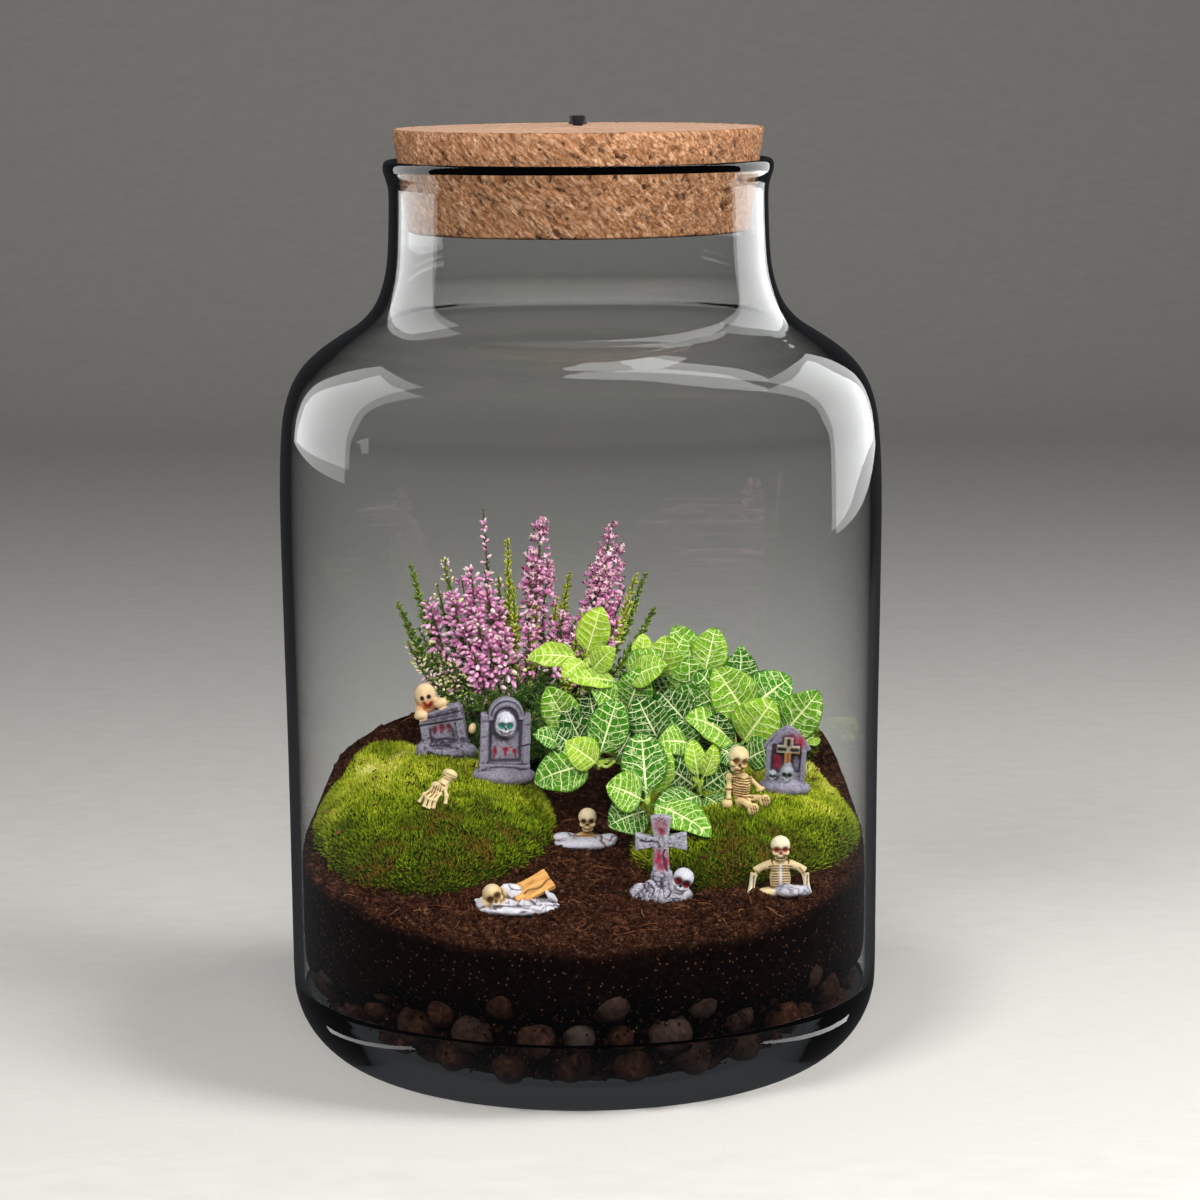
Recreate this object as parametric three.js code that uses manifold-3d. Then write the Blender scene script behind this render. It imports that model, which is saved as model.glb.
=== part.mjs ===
// A planted terrarium: a glass jar with a cork stopper, a drainage layer of clay
// pebbles, potting soil, moss, a heather, a nerve plant and nine small resin
// ornaments. Millimetres, +Z up, origin at the centre of the jar's foot. The
// front of the jar faces -Y.
import * as THREE from 'three';
import { mergeVertices } from 'three/addons/utils/BufferGeometryUtils.js';
import Module from 'manifold-3d';

const wasm = await Module();
wasm.setup();

// ---------------------------------------------------------------- dimensions
const GAP = 0.3; // air between two pieces that rest on each other
const SIDES = 36; // facets round the jar, the soil and the cork
const CORNER_STEPS = 5; // straight lines that make a rounded corner of the jar's profile

const JAR = {
  footInner: 48, // the ring that the jar stands on
  footOuter: 64.5,
  punt: 1.2, // hollow under the base, out to a radius of puntEdge
  puntEdge: 45,
  cornerWidth: 26.4, // the round outside corner above the foot
  cornerHeight: 27,
  floor: 6, // inside floor above the table
  floorRadius: 60, // flat part of the inside floor
  innerRadius: 88,
  innerCornerTop: 32, // height where the inside corner meets the wall
};

// Outside of the jar above the base corner, as [radius, height].
const JAR_OUTSIDE = [
  [91.1, 45], [91.4, 95], [92.2, 150], [92.4, 178], [91.5, 197], [89.6, 207], [86.0, 214.5],
  [80.5, 220.3], [73.8, 225], [67.2, 229.3], [62.6, 234.5], [59.9, 241], [58.4, 249],
  [57.8, 262], [57.8, 270], [58.5, 274], [58.4, 277.2],
];
const JAR_RIM = [[57.6, 278.5], [56.2, 278.5]];

// Inside of the jar from the rim down to the base corner, as [radius, height].
const JAR_INSIDE = [
  [55.3, 277.4], [55.3, 262], [55.9, 248], [57.3, 239.5], [60.0, 232.4], [64.8, 226.6],
  [71.6, 221.9], [78.3, 217.2], [83.6, 211.8], [86.8, 205], [88.6, 196], [89.2, 178],
  [89.0, 150], [88.2, 95],
];

const CORK = { top: 288, bottom: 257, topRadius: 56.5, bottomRadius: 52, bevel: 0.8 };
const PLUG = { back: 25, radius: 2.6, footRadius: 2.9, height: 2.9, stemRadius: 1.6, stemDepth: 9 };

// The soil slopes up to the back. Where pebbles show it stands back from the glass.
const SOIL = { middle: 71, slope: 0.196, recess: 7, recessTop: 41, recessHalfAngle: 62 };
const PEBBLE_RADIUS = 7.1;
const PEBBLE_DENT = 0.05; // how uneven a pebble is, as a share of its radius

// Each pebble that shows at the front: degrees from the front, height, size.
const PEBBLES = [
  [-31, 16, 1.0], [-17, 16, 1.02], [-3, 16, 1.0], [11, 16, 1.03], [25, 16, 0.98],
  [39, 16, 1.0], [-38, 25.5, 0.95], [-24, 25.8, 1.0], [-10, 25.2, 0.96], [18, 25.6, 1.0],
  [46, 25.3, 0.94], [-17, 37, 0.98], [5, 37, 1.02], [52, 37.5, 1.0],
];

// Moss cushions: centre, half-widths along X and Y, and how far they rise.
const MOSS = {
  moss_cushion_left: { x: -47, y: 3, rx: 37, ry: 50, rise: 14.5 },
  moss_cushion_right: { x: 50.5, y: -4, rx: 34.5, ry: 44, rise: 13 },
  moss_patch_back: { x: 69, y: 36, rx: 7.5, ry: 7, rise: 12 },
};

const HEATHER = { x: -22, y: 50, rx: 27, ry: 19, top: 117, spikeFoot: 98 };

// Heather spikes: the tip, and the fattest radius of the flowers or leaflets.
const SPIKES = [
  [-60, 50, 135, 1.7], [-56, 56, 146, 1.8], [-47, 47, 141, 2.3], [-45, 57, 148, 2.2],
  [-36, 46, 146, 4.2], [-32, 62, 162, 2.5], [-24, 53, 154, 2.0], [-13, 52, 160, 4.3],
  [-4, 58, 143, 2.6], [10, 55, 158, 4.3], [21, 54, 143, 2.4],
];
const PINK_FROM = 4; // spikes fatter than this are in full flower

// Nerve plant shoots: the crown in the soil, and the node that each shoot ends in.
const CROWN = [22, 25];
const SHOOTS = {
  a: [1, 20, 121],
  b: [13, 16, 114],
  c: [39, 36, 111],
  d: [52, 28, 102],
  e: [4.5, 4, 91],
  f: [19.5, -20, 83.5],
  g: [36, -4, 86],
  h: [70, 30, 91],
  i: [49.5, 16, 93],
};

// Nerve plant leaves: the shoot they sit on, the tip, the width, how far the blade
// arches up, and the way its upper face looks.
const LEAVES = [
  ['a', [6, 18, 138], 10, 0.8, [0, -1, 0.4]],
  ['a', [-17, 21, 122], 10.5, 1.0, [0, -0.7, 1]],
  ['b', [-4, 9, 117], 8, 0.8, [0, -0.8, 1]],
  ['b', [26, 10, 121], 11, 1.0, [-0.2, -1, 1]],
  ['c', [30, 50, 127], 10, 0.8, [0, -1, 0.3]],
  ['c', [43, 37, 128], 11, 0.8, [0, -1, 0.3]],
  ['d', [45, 40, 119], 9.5, 0.8, [0.2, -1, 0.4]],
  ['d', [67, 30, 113], 14, 1.0, [0.2, -1, 0.6]],
  ['i', [60, 11, 109], 14.5, 1.4, [0.2, -1, 0.5]],
  ['i', [33, 8, 105], 14, 2.0, [-0.2, -1, 1.2]],
  ['h', [77, 36, 93], 6, 0.5, [0, -1, 0.8]],
  ['e', [11, 6, 111], 12, 1.0, [0, -1, 0.3]],
  ['e', [-15, 0, 87], 12, 1.4, [0, -0.8, 1]],
  ['f', [20, -10, 103.5], 12, 1.2, [0, -1, 0.35]],
  ['f', [7.5, -25, 90], 11, 1.0, [-0.2, -1, 0.8]],
  ['f', [38.5, -32, 76], 12, 1.4, [0.3, -0.8, 1]],
  ['g', [34, 1, 99], 6, 0.5, [0, -1, 0.3]],
];
const STEM_RADIUS = 0.95;
const NODE_RADIUS = 1.1; // the small joint that a pair of leaves grows from
const LEAF_THICKNESS = 0.7;
const LEAF_FOLD = 0.16; // how far a leaf's edges rise above its midrib, per half-width
const PETIOLE = 0.12; // share of a leaf's length that is its stalk

// ----------------------------------------------------------------- materials
function finish(color, roughness, metalness = 0) {
  return new THREE.MeshStandardMaterial({ color, roughness, metalness });
}

const MATERIAL = {
  glass: new THREE.MeshStandardMaterial({
    color: '#dfe9e6', roughness: 0.05, metalness: 0, transparent: true, opacity: 0.3,
  }),
  cork: finish('#c99a6b', 0.9),
  blackPlastic: finish('#17161a', 0.5),
  soil: finish('#2e1f17', 1),
  clay: finish('#4a2f26', 0.95),
  moss: finish('#7d8f23', 1),
  heatherGreen: finish('#39522a', 0.9),
  heatherPink: finish('#c873a6', 0.85),
  stem: finish('#8aa844', 0.7),
  leaf: finish('#79b03a', 0.55),
  greyResin: finish('#9a93a0', 0.8),
  paleResin: finish('#d9d6dc', 0.75),
  boneResin: finish('#e6d3a4', 0.6),
};

// ------------------------------------------------------------- solid helpers

// Signed volume of a triangle mesh: positive when its faces point outwards.
function signedVolume(points, faces) {
  const a = new THREE.Vector3();
  const b = new THREE.Vector3();
  const c = new THREE.Vector3();
  let volume = 0;
  for (let i = 0; i < faces.length; i += 3) {
    a.fromArray(points, faces[i] * 3);
    b.fromArray(points, faces[i + 1] * 3);
    c.fromArray(points, faces[i + 2] * 3);
    volume += a.dot(b.cross(c)) / 6;
  }
  return volume;
}

// A closed three.js geometry as a solid: corners merged, slivers dropped, faces outwards.
function solid(geometry) {
  const bare = geometry.clone();
  bare.deleteAttribute('normal');
  bare.deleteAttribute('uv');
  const merged = mergeVertices(bare, 1e-4);
  const points = new Float32Array(merged.attributes.position.array);
  const faces = [];
  const index = merged.index.array;
  for (let i = 0; i < index.length; i += 3) {
    const [a, b, c] = [index[i], index[i + 1], index[i + 2]];
    if (a !== b && b !== c && c !== a) {
      faces.push(a, b, c);
    }
  }
  if (signedVolume(points, faces) < 0) {
    faces.reverse();
  }
  const mesh = new wasm.Mesh({
    numProp: 3, vertProperties: points, triVerts: new Uint32Array(faces),
  });
  return new wasm.Manifold(mesh);
}

function geometryOf(body) {
  const mesh = body.getMesh();
  const geometry = new THREE.BufferGeometry();
  const points = new THREE.BufferAttribute(mesh.vertProperties, 3);
  geometry.setAttribute('position', points);
  geometry.setIndex(new THREE.BufferAttribute(mesh.triVerts, 1));
  geometry.computeVertexNormals();
  return geometry;
}

function join(bodies) {
  return bodies.reduce((whole, body) => whole.add(body));
}

// A solid made fatter by the gap, sideways and upwards, to cut its neighbours with.
function swollen(body) {
  const moves = [[GAP, 0, 0], [-GAP, 0, 0], [0, GAP, 0], [0, -GAP, 0], [0, 0, GAP]];
  return join([body, ...moves.map((move) => body.translate(move))]);
}

// Keeps the largest of the separate bodies that a cut may leave.
function largest(cut) {
  const bodies = cut.decompose();
  bodies.sort((a, b) => b.volume() - a.volume());
  return bodies[0];
}

// Moves every corner of a geometry with a function of its position.
function reshape(geometry, move) {
  const position = geometry.attributes.position;
  const point = new THREE.Vector3();
  for (let i = 0; i < position.count; i += 1) {
    point.fromBufferAttribute(position, i);
    move(point);
    position.setXYZ(i, point.x, point.y, point.z);
  }
  return geometry;
}

// A turned shape from [radius, height] points, about the Z axis.
function turned(profile, sides = SIDES) {
  const points = profile.map(([r, z]) => new THREE.Vector2(r, z));
  return new THREE.LatheGeometry(points, sides).rotateX(Math.PI / 2);
}

function placed(geometry, [x, y, z] = [0, 0, 0], [rx, ry, rz] = [0, 0, 0]) {
  const turn = new THREE.Matrix4().makeRotationFromEuler(new THREE.Euler(rx, ry, rz));
  return solid(geometry.applyMatrix4(turn).translate(x, y, z));
}

function block(width, depth, height, at, turn) {
  return placed(new THREE.BoxGeometry(width, depth, height), at, turn);
}

function ball(rx, ry, rz, at, turn, wide = 7, high = 5) {
  const sphere = new THREE.SphereGeometry(1, wide, high).rotateX(Math.PI / 2);
  return placed(sphere.scale(rx, ry, rz), at, turn);
}

// A straight tapered bar between two points.
function bar(from, to, radius, endRadius = radius, sides = 6) {
  const start = new THREE.Vector3(...from);
  const end = new THREE.Vector3(...to);
  const along = end.clone().sub(start);
  const rod = new THREE.CylinderGeometry(endRadius, radius, along.length(), sides);
  const up = new THREE.Vector3(0, 1, 0);
  rod.applyQuaternion(new THREE.Quaternion().setFromUnitVectors(up, along.normalize()));
  const middle = start.add(end).multiplyScalar(0.5);
  return solid(rod.translate(middle.x, middle.y, middle.z));
}

// A flat outline in the XZ plane, extruded along Y about its middle.
function slab(outline, thickness) {
  const flat = new THREE.ExtrudeGeometry(outline, { depth: thickness, bevelEnabled: false });
  return solid(flat.translate(0, 0, -thickness / 2).rotateX(Math.PI / 2));
}

// ------------------------------------------------------------------- terrain

// Height of the soil: it slopes up to the back, with low bumps.
function soilHeight(x, y) {
  const bumps = 0.9 * Math.sin(x / 13 + 1) * Math.cos(y / 11) + 0.5 * Math.sin(x / 6 - y / 8);
  return SOIL.middle + SOIL.slope * y + bumps;
}

// Height of a moss cushion's surface, or of the soil outside the cushion.
function mossHeight({ x: cx, y: cy, rx, ry, rise }, x, y) {
  const reach = Math.hypot((x - cx) / rx, (y - cy) / ry);
  const dome = Math.max(0, 1 - reach ** 2.4) ** 0.55;
  return soilHeight(x, y) + rise * dome;
}

// Radius of the inside of the jar at a height, less a margin.
function insideRadius(z, margin) {
  const across = JAR.innerRadius - JAR.floorRadius - margin;
  const down = JAR.innerCornerTop - JAR.floor - margin;
  const depth = Math.min(1, Math.max(0, (JAR.innerCornerTop - z) / down));
  return JAR.floorRadius + across * Math.sqrt(1 - depth ** 2);
}

// The rounded inside corner at the jar's floor, less a margin, from the wall down.
function insideCorner(margin) {
  const across = JAR.innerRadius - JAR.floorRadius - margin;
  const down = JAR.innerCornerTop - JAR.floor - margin;
  const corner = [];
  for (let i = 0; i <= CORNER_STEPS; i += 1) {
    const angle = (i / CORNER_STEPS) * (Math.PI / 2);
    const r = JAR.floorRadius + across * Math.cos(angle);
    corner.push([r, JAR.innerCornerTop - down * Math.sin(angle)]);
  }
  return corner;
}

// --------------------------------------------------------------- jar and cork
function glassJar() {
  const profile = [[0, JAR.punt], [JAR.puntEdge, JAR.punt], [JAR.footInner, 0]];
  for (let i = 0; i <= CORNER_STEPS; i += 1) {
    const angle = (i / CORNER_STEPS) * (Math.PI / 2);
    const r = JAR.footOuter + JAR.cornerWidth * Math.sin(angle);
    profile.push([r, JAR.cornerHeight * (1 - Math.cos(angle))]);
  }
  profile.push(...JAR_OUTSIDE, ...JAR_RIM, ...JAR_INSIDE, ...insideCorner(0), [0, JAR.floor]);
  return solid(turned(profile));
}

// The stopper is one tapered cork, with a blind hole for the plug's stem.
function corkStopper() {
  const profile = [
    [0, CORK.bottom],
    [CORK.bottomRadius - CORK.bevel, CORK.bottom],
    [CORK.bottomRadius, CORK.bottom + CORK.bevel],
    [CORK.topRadius, CORK.top - CORK.bevel],
    [CORK.topRadius - CORK.bevel, CORK.top],
    [0, CORK.top],
  ];
  const depth = PLUG.stemDepth + GAP;
  const hole = new THREE.CylinderGeometry(PLUG.stemRadius + GAP, PLUG.stemRadius + GAP, 2 * depth, 12);
  return solid(turned(profile)).subtract(placed(hole.rotateX(Math.PI / 2), [0, PLUG.back, CORK.top]));
}

// A small black plug on the cork: a flared button on a stem in the hole.
function stopperPlug() {
  const profile = [
    [0, -PLUG.stemDepth],
    [PLUG.stemRadius, -PLUG.stemDepth],
    [PLUG.stemRadius, GAP],
    [PLUG.footRadius, GAP],
    [PLUG.footRadius, GAP + 0.6],
    [PLUG.radius, GAP + 0.9],
    [PLUG.radius, PLUG.height],
    [0, PLUG.height],
  ];
  return placed(turned(profile, 12), [0, PLUG.back, CORK.top]);
}

// ---------------------------------------------------------- soil and drainage

// A pebble, or with `grow` the pocket that it sits in, against the jar's wall.
function pebble([degrees, z, size], grow = 0) {
  const radius = PEBBLE_RADIUS * size;
  const away = insideRadius(z, radius + GAP);
  const angle = THREE.MathUtils.degToRad(degrees);
  const lump = new THREE.IcosahedronGeometry(1, 1);
  reshape(lump, (p) => {
    const dent = 1 + Math.sin(3 * p.x + degrees) * Math.cos(2.5 * p.z + z);
    p.multiplyScalar(radius * (1 - PEBBLE_DENT * dent) + grow);
  });
  return placed(lump, [away * Math.sin(angle), -away * Math.cos(angle), z]);
}

// The soil fills the jar to its sloping top, apart from the recess for the pebbles.
function pottingSoil() {
  const wall = JAR.innerRadius - GAP;
  const profile = [[0, JAR.floor + GAP], ...insideCorner(GAP).reverse()];
  profile.push([wall, SOIL.recessTop], [wall, SOIL.recessTop + SOIL.recess]);
  for (const r of [wall, 73, 58, 43, 28, 14, 0]) {
    profile.push([r, SOIL.middle]);
  }
  const body = turned(profile);
  reshape(body, (p) => {
    const radius = Math.hypot(p.x, p.y);
    const degrees = THREE.MathUtils.radToDeg(Math.atan2(p.x, -p.y));
    if (p.z === SOIL.middle) {
      p.z = soilHeight(p.x, p.y);
    } else if (p.z <= SOIL.recessTop && Math.abs(degrees) < SOIL.recessHalfAngle && radius > 0) {
      p.x *= 1 - SOIL.recess / radius;
      p.y *= 1 - SOIL.recess / radius;
    }
  });
  return PEBBLES.reduce((mass, spot) => mass.subtract(pebble(spot, GAP)), solid(body));
}

// Cuts a solid back from everything that it stands on.
function trimmed(body, grounds) {
  return grounds.reduce((rest, ground) => rest.subtract(ground.raised), body);
}

// A moss cushion: a dome over the ground, cut to the shape of what it lies on.
function mossCushion(cushion, grounds) {
  const dome = new THREE.SphereGeometry(1, 20, 10).rotateX(Math.PI / 2);
  reshape(dome, (p) => {
    const x = cushion.x + cushion.rx * p.x;
    const y = cushion.y + cushion.ry * p.y;
    const z = p.z > 0 ? mossHeight(cushion, x, y) : soilHeight(x, y) - 2 + 2 * p.z;
    p.set(x, y, z);
  });
  return largest(trimmed(solid(dome), grounds));
}

// ------------------------------------------------------------------ ornaments
// Each is one small resin casting, made about the middle of its own base, front to -Y.

function outline(points) {
  return new THREE.Shape(points.map(([x, z]) => new THREE.Vector2(x, z)));
}

// A skull: a round crown and a narrower jaw, tilted about the line of sight.
function skull(size, at, tilt = 0) {
  const crown = ball(0.5 * size, 0.5 * size, 0.5 * size, [0, 0, 0.12 * size]);
  const jaw = ball(0.32 * size, 0.36 * size, 0.3 * size, [0, -0.12 * size, -0.36 * size]);
  return join([crown, jaw]).rotate(0, THREE.MathUtils.radToDeg(tilt), 0).translate(at);
}

function ghostGravestone() {
  const stone = slab(outline([[-7, 0], [6.6, 0], [6.4, 17], [-7, 11]]), 4.2);
  return join([
    ball(9.6, 5.5, 4.2, [0, -0.5, 1.5]),
    stone.rotate(0, -8, 0).translate(0, 0, 1.5),
    ball(3.9, 3.4, 4.6, [-6.4, 1.6, 20.2]),
    ball(3.4, 2.6, 5.5, [-5, 2.6, 13.5]),
    ball(2.4, 1.8, 1.7, [-8.3, -1, 13.6]),
    ball(2.5, 1.9, 1.8, [-0.6, 0, 18]),
  ]);
}

function skullGravestone() {
  const stone = outline([
    [-8.2, 0], [8.2, 0], [8.2, 17], [5.6, 17], [4.8, 20.2], [2.8, 22.1], [0, 22.7],
    [-2.8, 22.1], [-4.8, 20.2], [-5.6, 17], [-8.2, 17],
  ]);
  const panel = outline([[-5.7, 1.2], [5.7, 1.2], [5.7, 15], [3.8, 15], [2.6, 18.2],
    [0, 19.2], [-2.6, 18.2], [-3.8, 15], [-5.7, 15]]);
  const body = slab(stone, 4.4).subtract(slab(panel, 1.6).translate(0, -2.2, 0));
  return join([
    ball(10, 5.6, 4.6, [0, -0.6, 0.6]),
    block(17, 7, 1.6, [0, 0, 4.6]),
    body.translate(0, 0, 5),
    skull(6.4, [0, -1.6, 19.5]),
  ]).rotate(0, 2.5, 0);
}

function boneHand() {
  const wrist = [4.6, 3.5, 3];
  const palm = [0.8, -0.5, 2.6];
  const fingers = [[-5.8, -4.2, 0.8], [-3.6, -5.8, 0.6], [-1.2, -6.8, 0.6], [1.4, -6.6, 0.8]];
  return join([
    bar(wrist, palm, 1.7, 1.5),
    ball(2.2, 1.9, 1.6, wrist),
    ball(2.8, 2.3, 1.5, palm),
    ...fingers.map((tip) => bar(palm, tip, 1.0, 0.7)),
  ]);
}

function risingSkull() {
  return join([
    ball(9.6, 6.6, 2.6, [0, 0, 0.4], [0, 0, 0], 12, 6),
    bar([0.6, 0.5, 1], [0.6, 0, 5], 1.7, 1.3),
    skull(6.4, [0.8, -0.4, 7.6]),
  ]);
}

function crossGravestone() {
  const cross = outline([
    [-2.5, 0], [2.5, 0], [2.4, 9.4], [7.7, 8.2], [7.6, 13.4], [2.4, 12.4], [3, 18.4],
    [-3, 18.4], [-2.4, 12.4], [-7.6, 13.4], [-7.6, 8.2], [-2.4, 9.4],
  ]);
  return join([
    ball(8.8, 5.6, 4.6, [0.4, 0, 1]),
    ball(3.6, 3.4, 4, [-6, -1, 0.8]),
    ball(3.4, 3.2, 6, [0.4, 0, 4.4]),
    slab(cross, 3.6).translate(0, 0, 6.6),
    skull(6.6, [6.2, -2.4, 6], 0.45),
  ]);
}

function brokenCoffin() {
  const lid = block(10.5, 7.6, 2.2, [4.6, 1.2, 4.2], [0.25, -0.16, 0.42]);
  return join([
    ball(12.4, 8.2, 3, [0, -0.5, 0.6], [0, 0, 0.12], 10, 6),
    block(13, 8, 3.4, [-1, 0.6, 1.6], [0, 0, 0.42]),
    lid,
    skull(6.2, [-7.4, -2.2, 3.6], -0.5),
  ]);
}

function risingSkeleton() {
  return join([
    ball(6.5, 4.6, 2.2, [2.6, -1.4, 0.4]),
    ball(3.6, 2.2, 5.2, [-0.6, 0, 4.4]),
    bar([-0.6, 0, 7], [-0.4, -0.3, 11], 1.5, 1.2),
    bar([-0.4, 0, 8.4], [-7.2, 0.4, 6], 1.4, 1.2),
    bar([-7.2, 0.4, 6.2], [-8.2, -0.6, 0], 1.2, 1.2),
    bar([-0.4, 0, 8.4], [6, 0.2, 6], 1.4, 1.2),
    bar([6, 0.2, 6.2], [7.2, -1.8, 0], 1.2, 1.3),
    skull(6.2, [0, -0.5, 13]),
  ]);
}

function sittingSkeleton() {
  return join([
    ball(3, 2.5, 5, [0, 0.8, 6], [0.12, 0.1, 0]),
    ball(3.2, 2.8, 2.4, [0.6, 0.4, 1.6]),
    bar([0.2, 0.8, 10], [-0.6, 0.2, 13], 1.5, 1.3),
    bar([-2.4, 0.8, 9.4], [-3.6, 0, 3.4], 1.1, 1.1),
    bar([-3.6, 0, 3.6], [-4.6, -1, 0.8], 1.1, 1.4),
    bar([2.8, 0.8, 9], [4.6, 0.8, 4], 1.1, 1.1),
    bar([4.6, 0.8, 4.2], [6.2, -0.4, 2.4], 1.1, 1.0),
    bar([0.4, 0, 1.8], [2.4, -5.6, 0.8], 1.6, 1.5),
    bar([1.4, 0, 2.2], [6, -3.8, 2], 1.6, 1.5),
    skull(6.6, [-0.8, -0.2, 15]),
  ]);
}

function chapelGravestone() {
  const front = outline([[-6, 0], [5.8, 0], [6.4, 11], [2.2, 16.2], [0, 17], [-2.2, 16],
    [-6.6, 10.6]]);
  const cross = outline([[-0.8, 0], [0.8, 0], [0.8, 6], [3, 6], [3, 7.8], [0.8, 7.8],
    [0.8, 10], [-0.8, 10], [-0.8, 7.8], [-3, 7.8], [-3, 6], [-0.8, 6]]);
  return join([
    ball(8.2, 5, 3.4, [0, -0.6, 0.6]),
    slab(front, 5).translate(0, 0.4, 2.6),
    slab(cross, 1.6).translate(0.4, -2.6, 6.6),
    ball(2.2, 1.6, 2, [0.6, -3, 4.4]),
    ball(1.4, 1.3, 1.3, [-3.6, -3, 3.8]),
  ]).rotate(0, 4, -6);
}

// Each ornament: the function that makes it, where it stands, and its turn about Z in degrees.
const ORNAMENTS = {
  ghost_gravestone: { make: ghostGravestone, x: -43.5, y: 30, turn: -6, material: 'greyResin' },
  skull_gravestone: { make: skullGravestone, x: -25, y: 13, turn: 4, material: 'greyResin' },
  bone_hand: { make: boneHand, x: -44, y: -13, turn: 0, material: 'boneResin' },
  rising_skull: { make: risingSkull, x: 0.5, y: -12, turn: 0, material: 'paleResin' },
  cross_gravestone: { make: crossGravestone, x: 23, y: -48.5, turn: 0, material: 'paleResin' },
  broken_coffin: { make: brokenCoffin, x: -20, y: -55, turn: 0, material: 'paleResin' },
  rising_skeleton: { make: risingSkeleton, x: 58, y: -45.5, turn: 0, material: 'boneResin' },
  sitting_skeleton: { make: sittingSkeleton, x: 49, y: -13, turn: 8, material: 'boneResin' },
  chapel_gravestone: { make: chapelGravestone, x: 63, y: 3, turn: 0, material: 'greyResin' },
};

const SINK = 0.6; // how deep an ornament's foot sits in the ground

// Stands an ornament on the ground and trims its foot to the ground's shape.
function ornament({ make, x, y, turn }, grounds) {
  const height = Math.max(...grounds.map((ground) => ground.height(x, y)));
  const sunk = make().rotate(0, 0, turn).translate(x, y, height - SINK);
  return largest(trimmed(sunk, grounds));
}

// --------------------------------------------------------------------- plants

function curveThrough(points) {
  return new THREE.CatmullRomCurve3(points.map((p) => new THREE.Vector3(...p)));
}

// A round stem along a curve.
function stem(curve, radius, steps, sides = 6) {
  const section = new THREE.Shape();
  for (let i = 0; i < sides; i += 1) {
    const angle = (i / sides) * 2 * Math.PI;
    const [x, y] = [radius * Math.cos(angle), radius * Math.sin(angle)];
    if (i === 0) {
      section.moveTo(x, y);
    } else {
      section.lineTo(x, y);
    }
  }
  section.closePath();
  const settings = { extrudePath: curve, steps, bevelEnabled: false, curveSegments: 1 };
  return solid(new THREE.ExtrudeGeometry(section, settings));
}

// The heather's leafy base: a lumpy mound, or with `grow` the space it fills.
function heatherBush(grow = 0) {
  const ground = soilHeight(HEATHER.x, HEATHER.y) - 3;
  const middle = (ground + HEATHER.top) / 2;
  const half = (HEATHER.top - ground) / 2;
  const lump = new THREE.SphereGeometry(1, 16, 8).rotateX(Math.PI / 2);
  reshape(lump, (p) => {
    const knobs = 1 + 0.05 * Math.sin(9 * p.x) * Math.cos(8 * p.z) * (1 - p.z ** 2);
    const [rx, ry] = [HEATHER.rx * knobs + grow, HEATHER.ry * knobs + grow];
    p.set(rx * p.x, ry * p.y, (half + grow) * p.z);
  });
  return placed(lump, [HEATHER.x, HEATHER.y, middle]);
}

// One heather spike: a thin woody foot that swells into flowers and ends in a tip.
function heatherSpike([x, y, z, fat]) {
  const [dx, dy, low] = [x - HEATHER.x, y - HEATHER.y, HEATHER.spikeFoot];
  const foot = [HEATHER.x + 0.42 * dx, HEATHER.y + 0.3 * dy, low];
  const knee = [HEATHER.x + 0.78 * dx, HEATHER.y + 0.5 * dy, (low + z) / 2];
  const axis = curveThrough([foot, knee, [x, y, z]]);
  const profile = [[0, 0], [0.7, 0], [0.7, 0.3], [0.75 * fat, 0.42], [fat, 0.56],
    [0.9 * fat, 0.72], [0.55 * fat, 0.88], [0.4, 1], [0, 1]];
  const body = turned(profile, 8);
  return solid(reshape(body, (p) => {
    const spot = axis.getPoint(Math.min(1, Math.max(0, p.z)));
    p.set(spot.x + p.x, spot.y + p.y, spot.z);
  }));
}

// The nerve plant's stems, joined at the crown, or with `grow` the space they fill.
function nerveStems(grow = 0) {
  const [x, y] = CROWN;
  const ground = soilHeight(x, y);
  const shapes = [ball(3.2 + grow, 3.2 + grow, 6 + grow, [x, y, ground])];
  for (const end of Object.values(SHOOTS)) {
    const [dx, dy, rise] = [end[0] - x, end[1] - y, end[2] - ground];
    const low = [x, y, ground + 2];
    const knee = [x + 0.12 * dx, y + 0.12 * dy, ground + 9];
    const bend = [x + 0.5 * dx, y + 0.5 * dy, ground + Math.max(14, 0.75 * rise)];
    shapes.push(stem(curveThrough([low, knee, bend, end]), STEM_RADIUS + grow, 6));
    shapes.push(ball(...[1, 1, 1].map(() => NODE_RADIUS + grow), end, [0, 0, 0], 6, 4));
  }
  return join(shapes);
}

// A leaf from its node to its tip: a thin blade, widest near its middle, arched
// along its length and folded a little along its midrib.
function leaf([shoot, tip, width, arch, face]) {
  const node = new THREE.Vector3(...SHOOTS[shoot]);
  const along = new THREE.Vector3(...tip).sub(node);
  const root = node.addScaledVector(along, NODE_RADIUS / along.length());
  along.multiplyScalar(1 - NODE_RADIUS / along.length());
  const side = new THREE.Vector3(...face).cross(along).normalize();
  const up = along.clone().cross(side).normalize();
  const box = new THREE.BoxGeometry(1, 1, 1, 5, 2, 1);
  return reshape(box, (p) => {
    const t = p.x + 0.5; // 0 at the stem, 1 at the tip
    const across = 2 * p.y; // -1 and 1 at the edges
    const layer = LEAF_THICKNESS * p.z;
    const blade = Math.max(0, (t - PETIOLE) / (1 - PETIOLE));
    const half = 0.5 * width * Math.max(0.09, Math.sin(Math.PI * blade ** 0.8) ** 0.8);
    const rise = arch * 4 * t * (1 - t) + LEAF_FOLD * half * Math.abs(across);
    p.copy(root)
      .addScaledVector(along, t)
      .addScaledVector(side, half * across)
      .addScaledVector(up, rise + layer);
  });
}

// ------------------------------------------------------------------- assembly
const terrarium = new THREE.Group();

function group(name) {
  const members = new THREE.Group();
  members.name = name;
  terrarium.add(members);
  return members;
}

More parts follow.
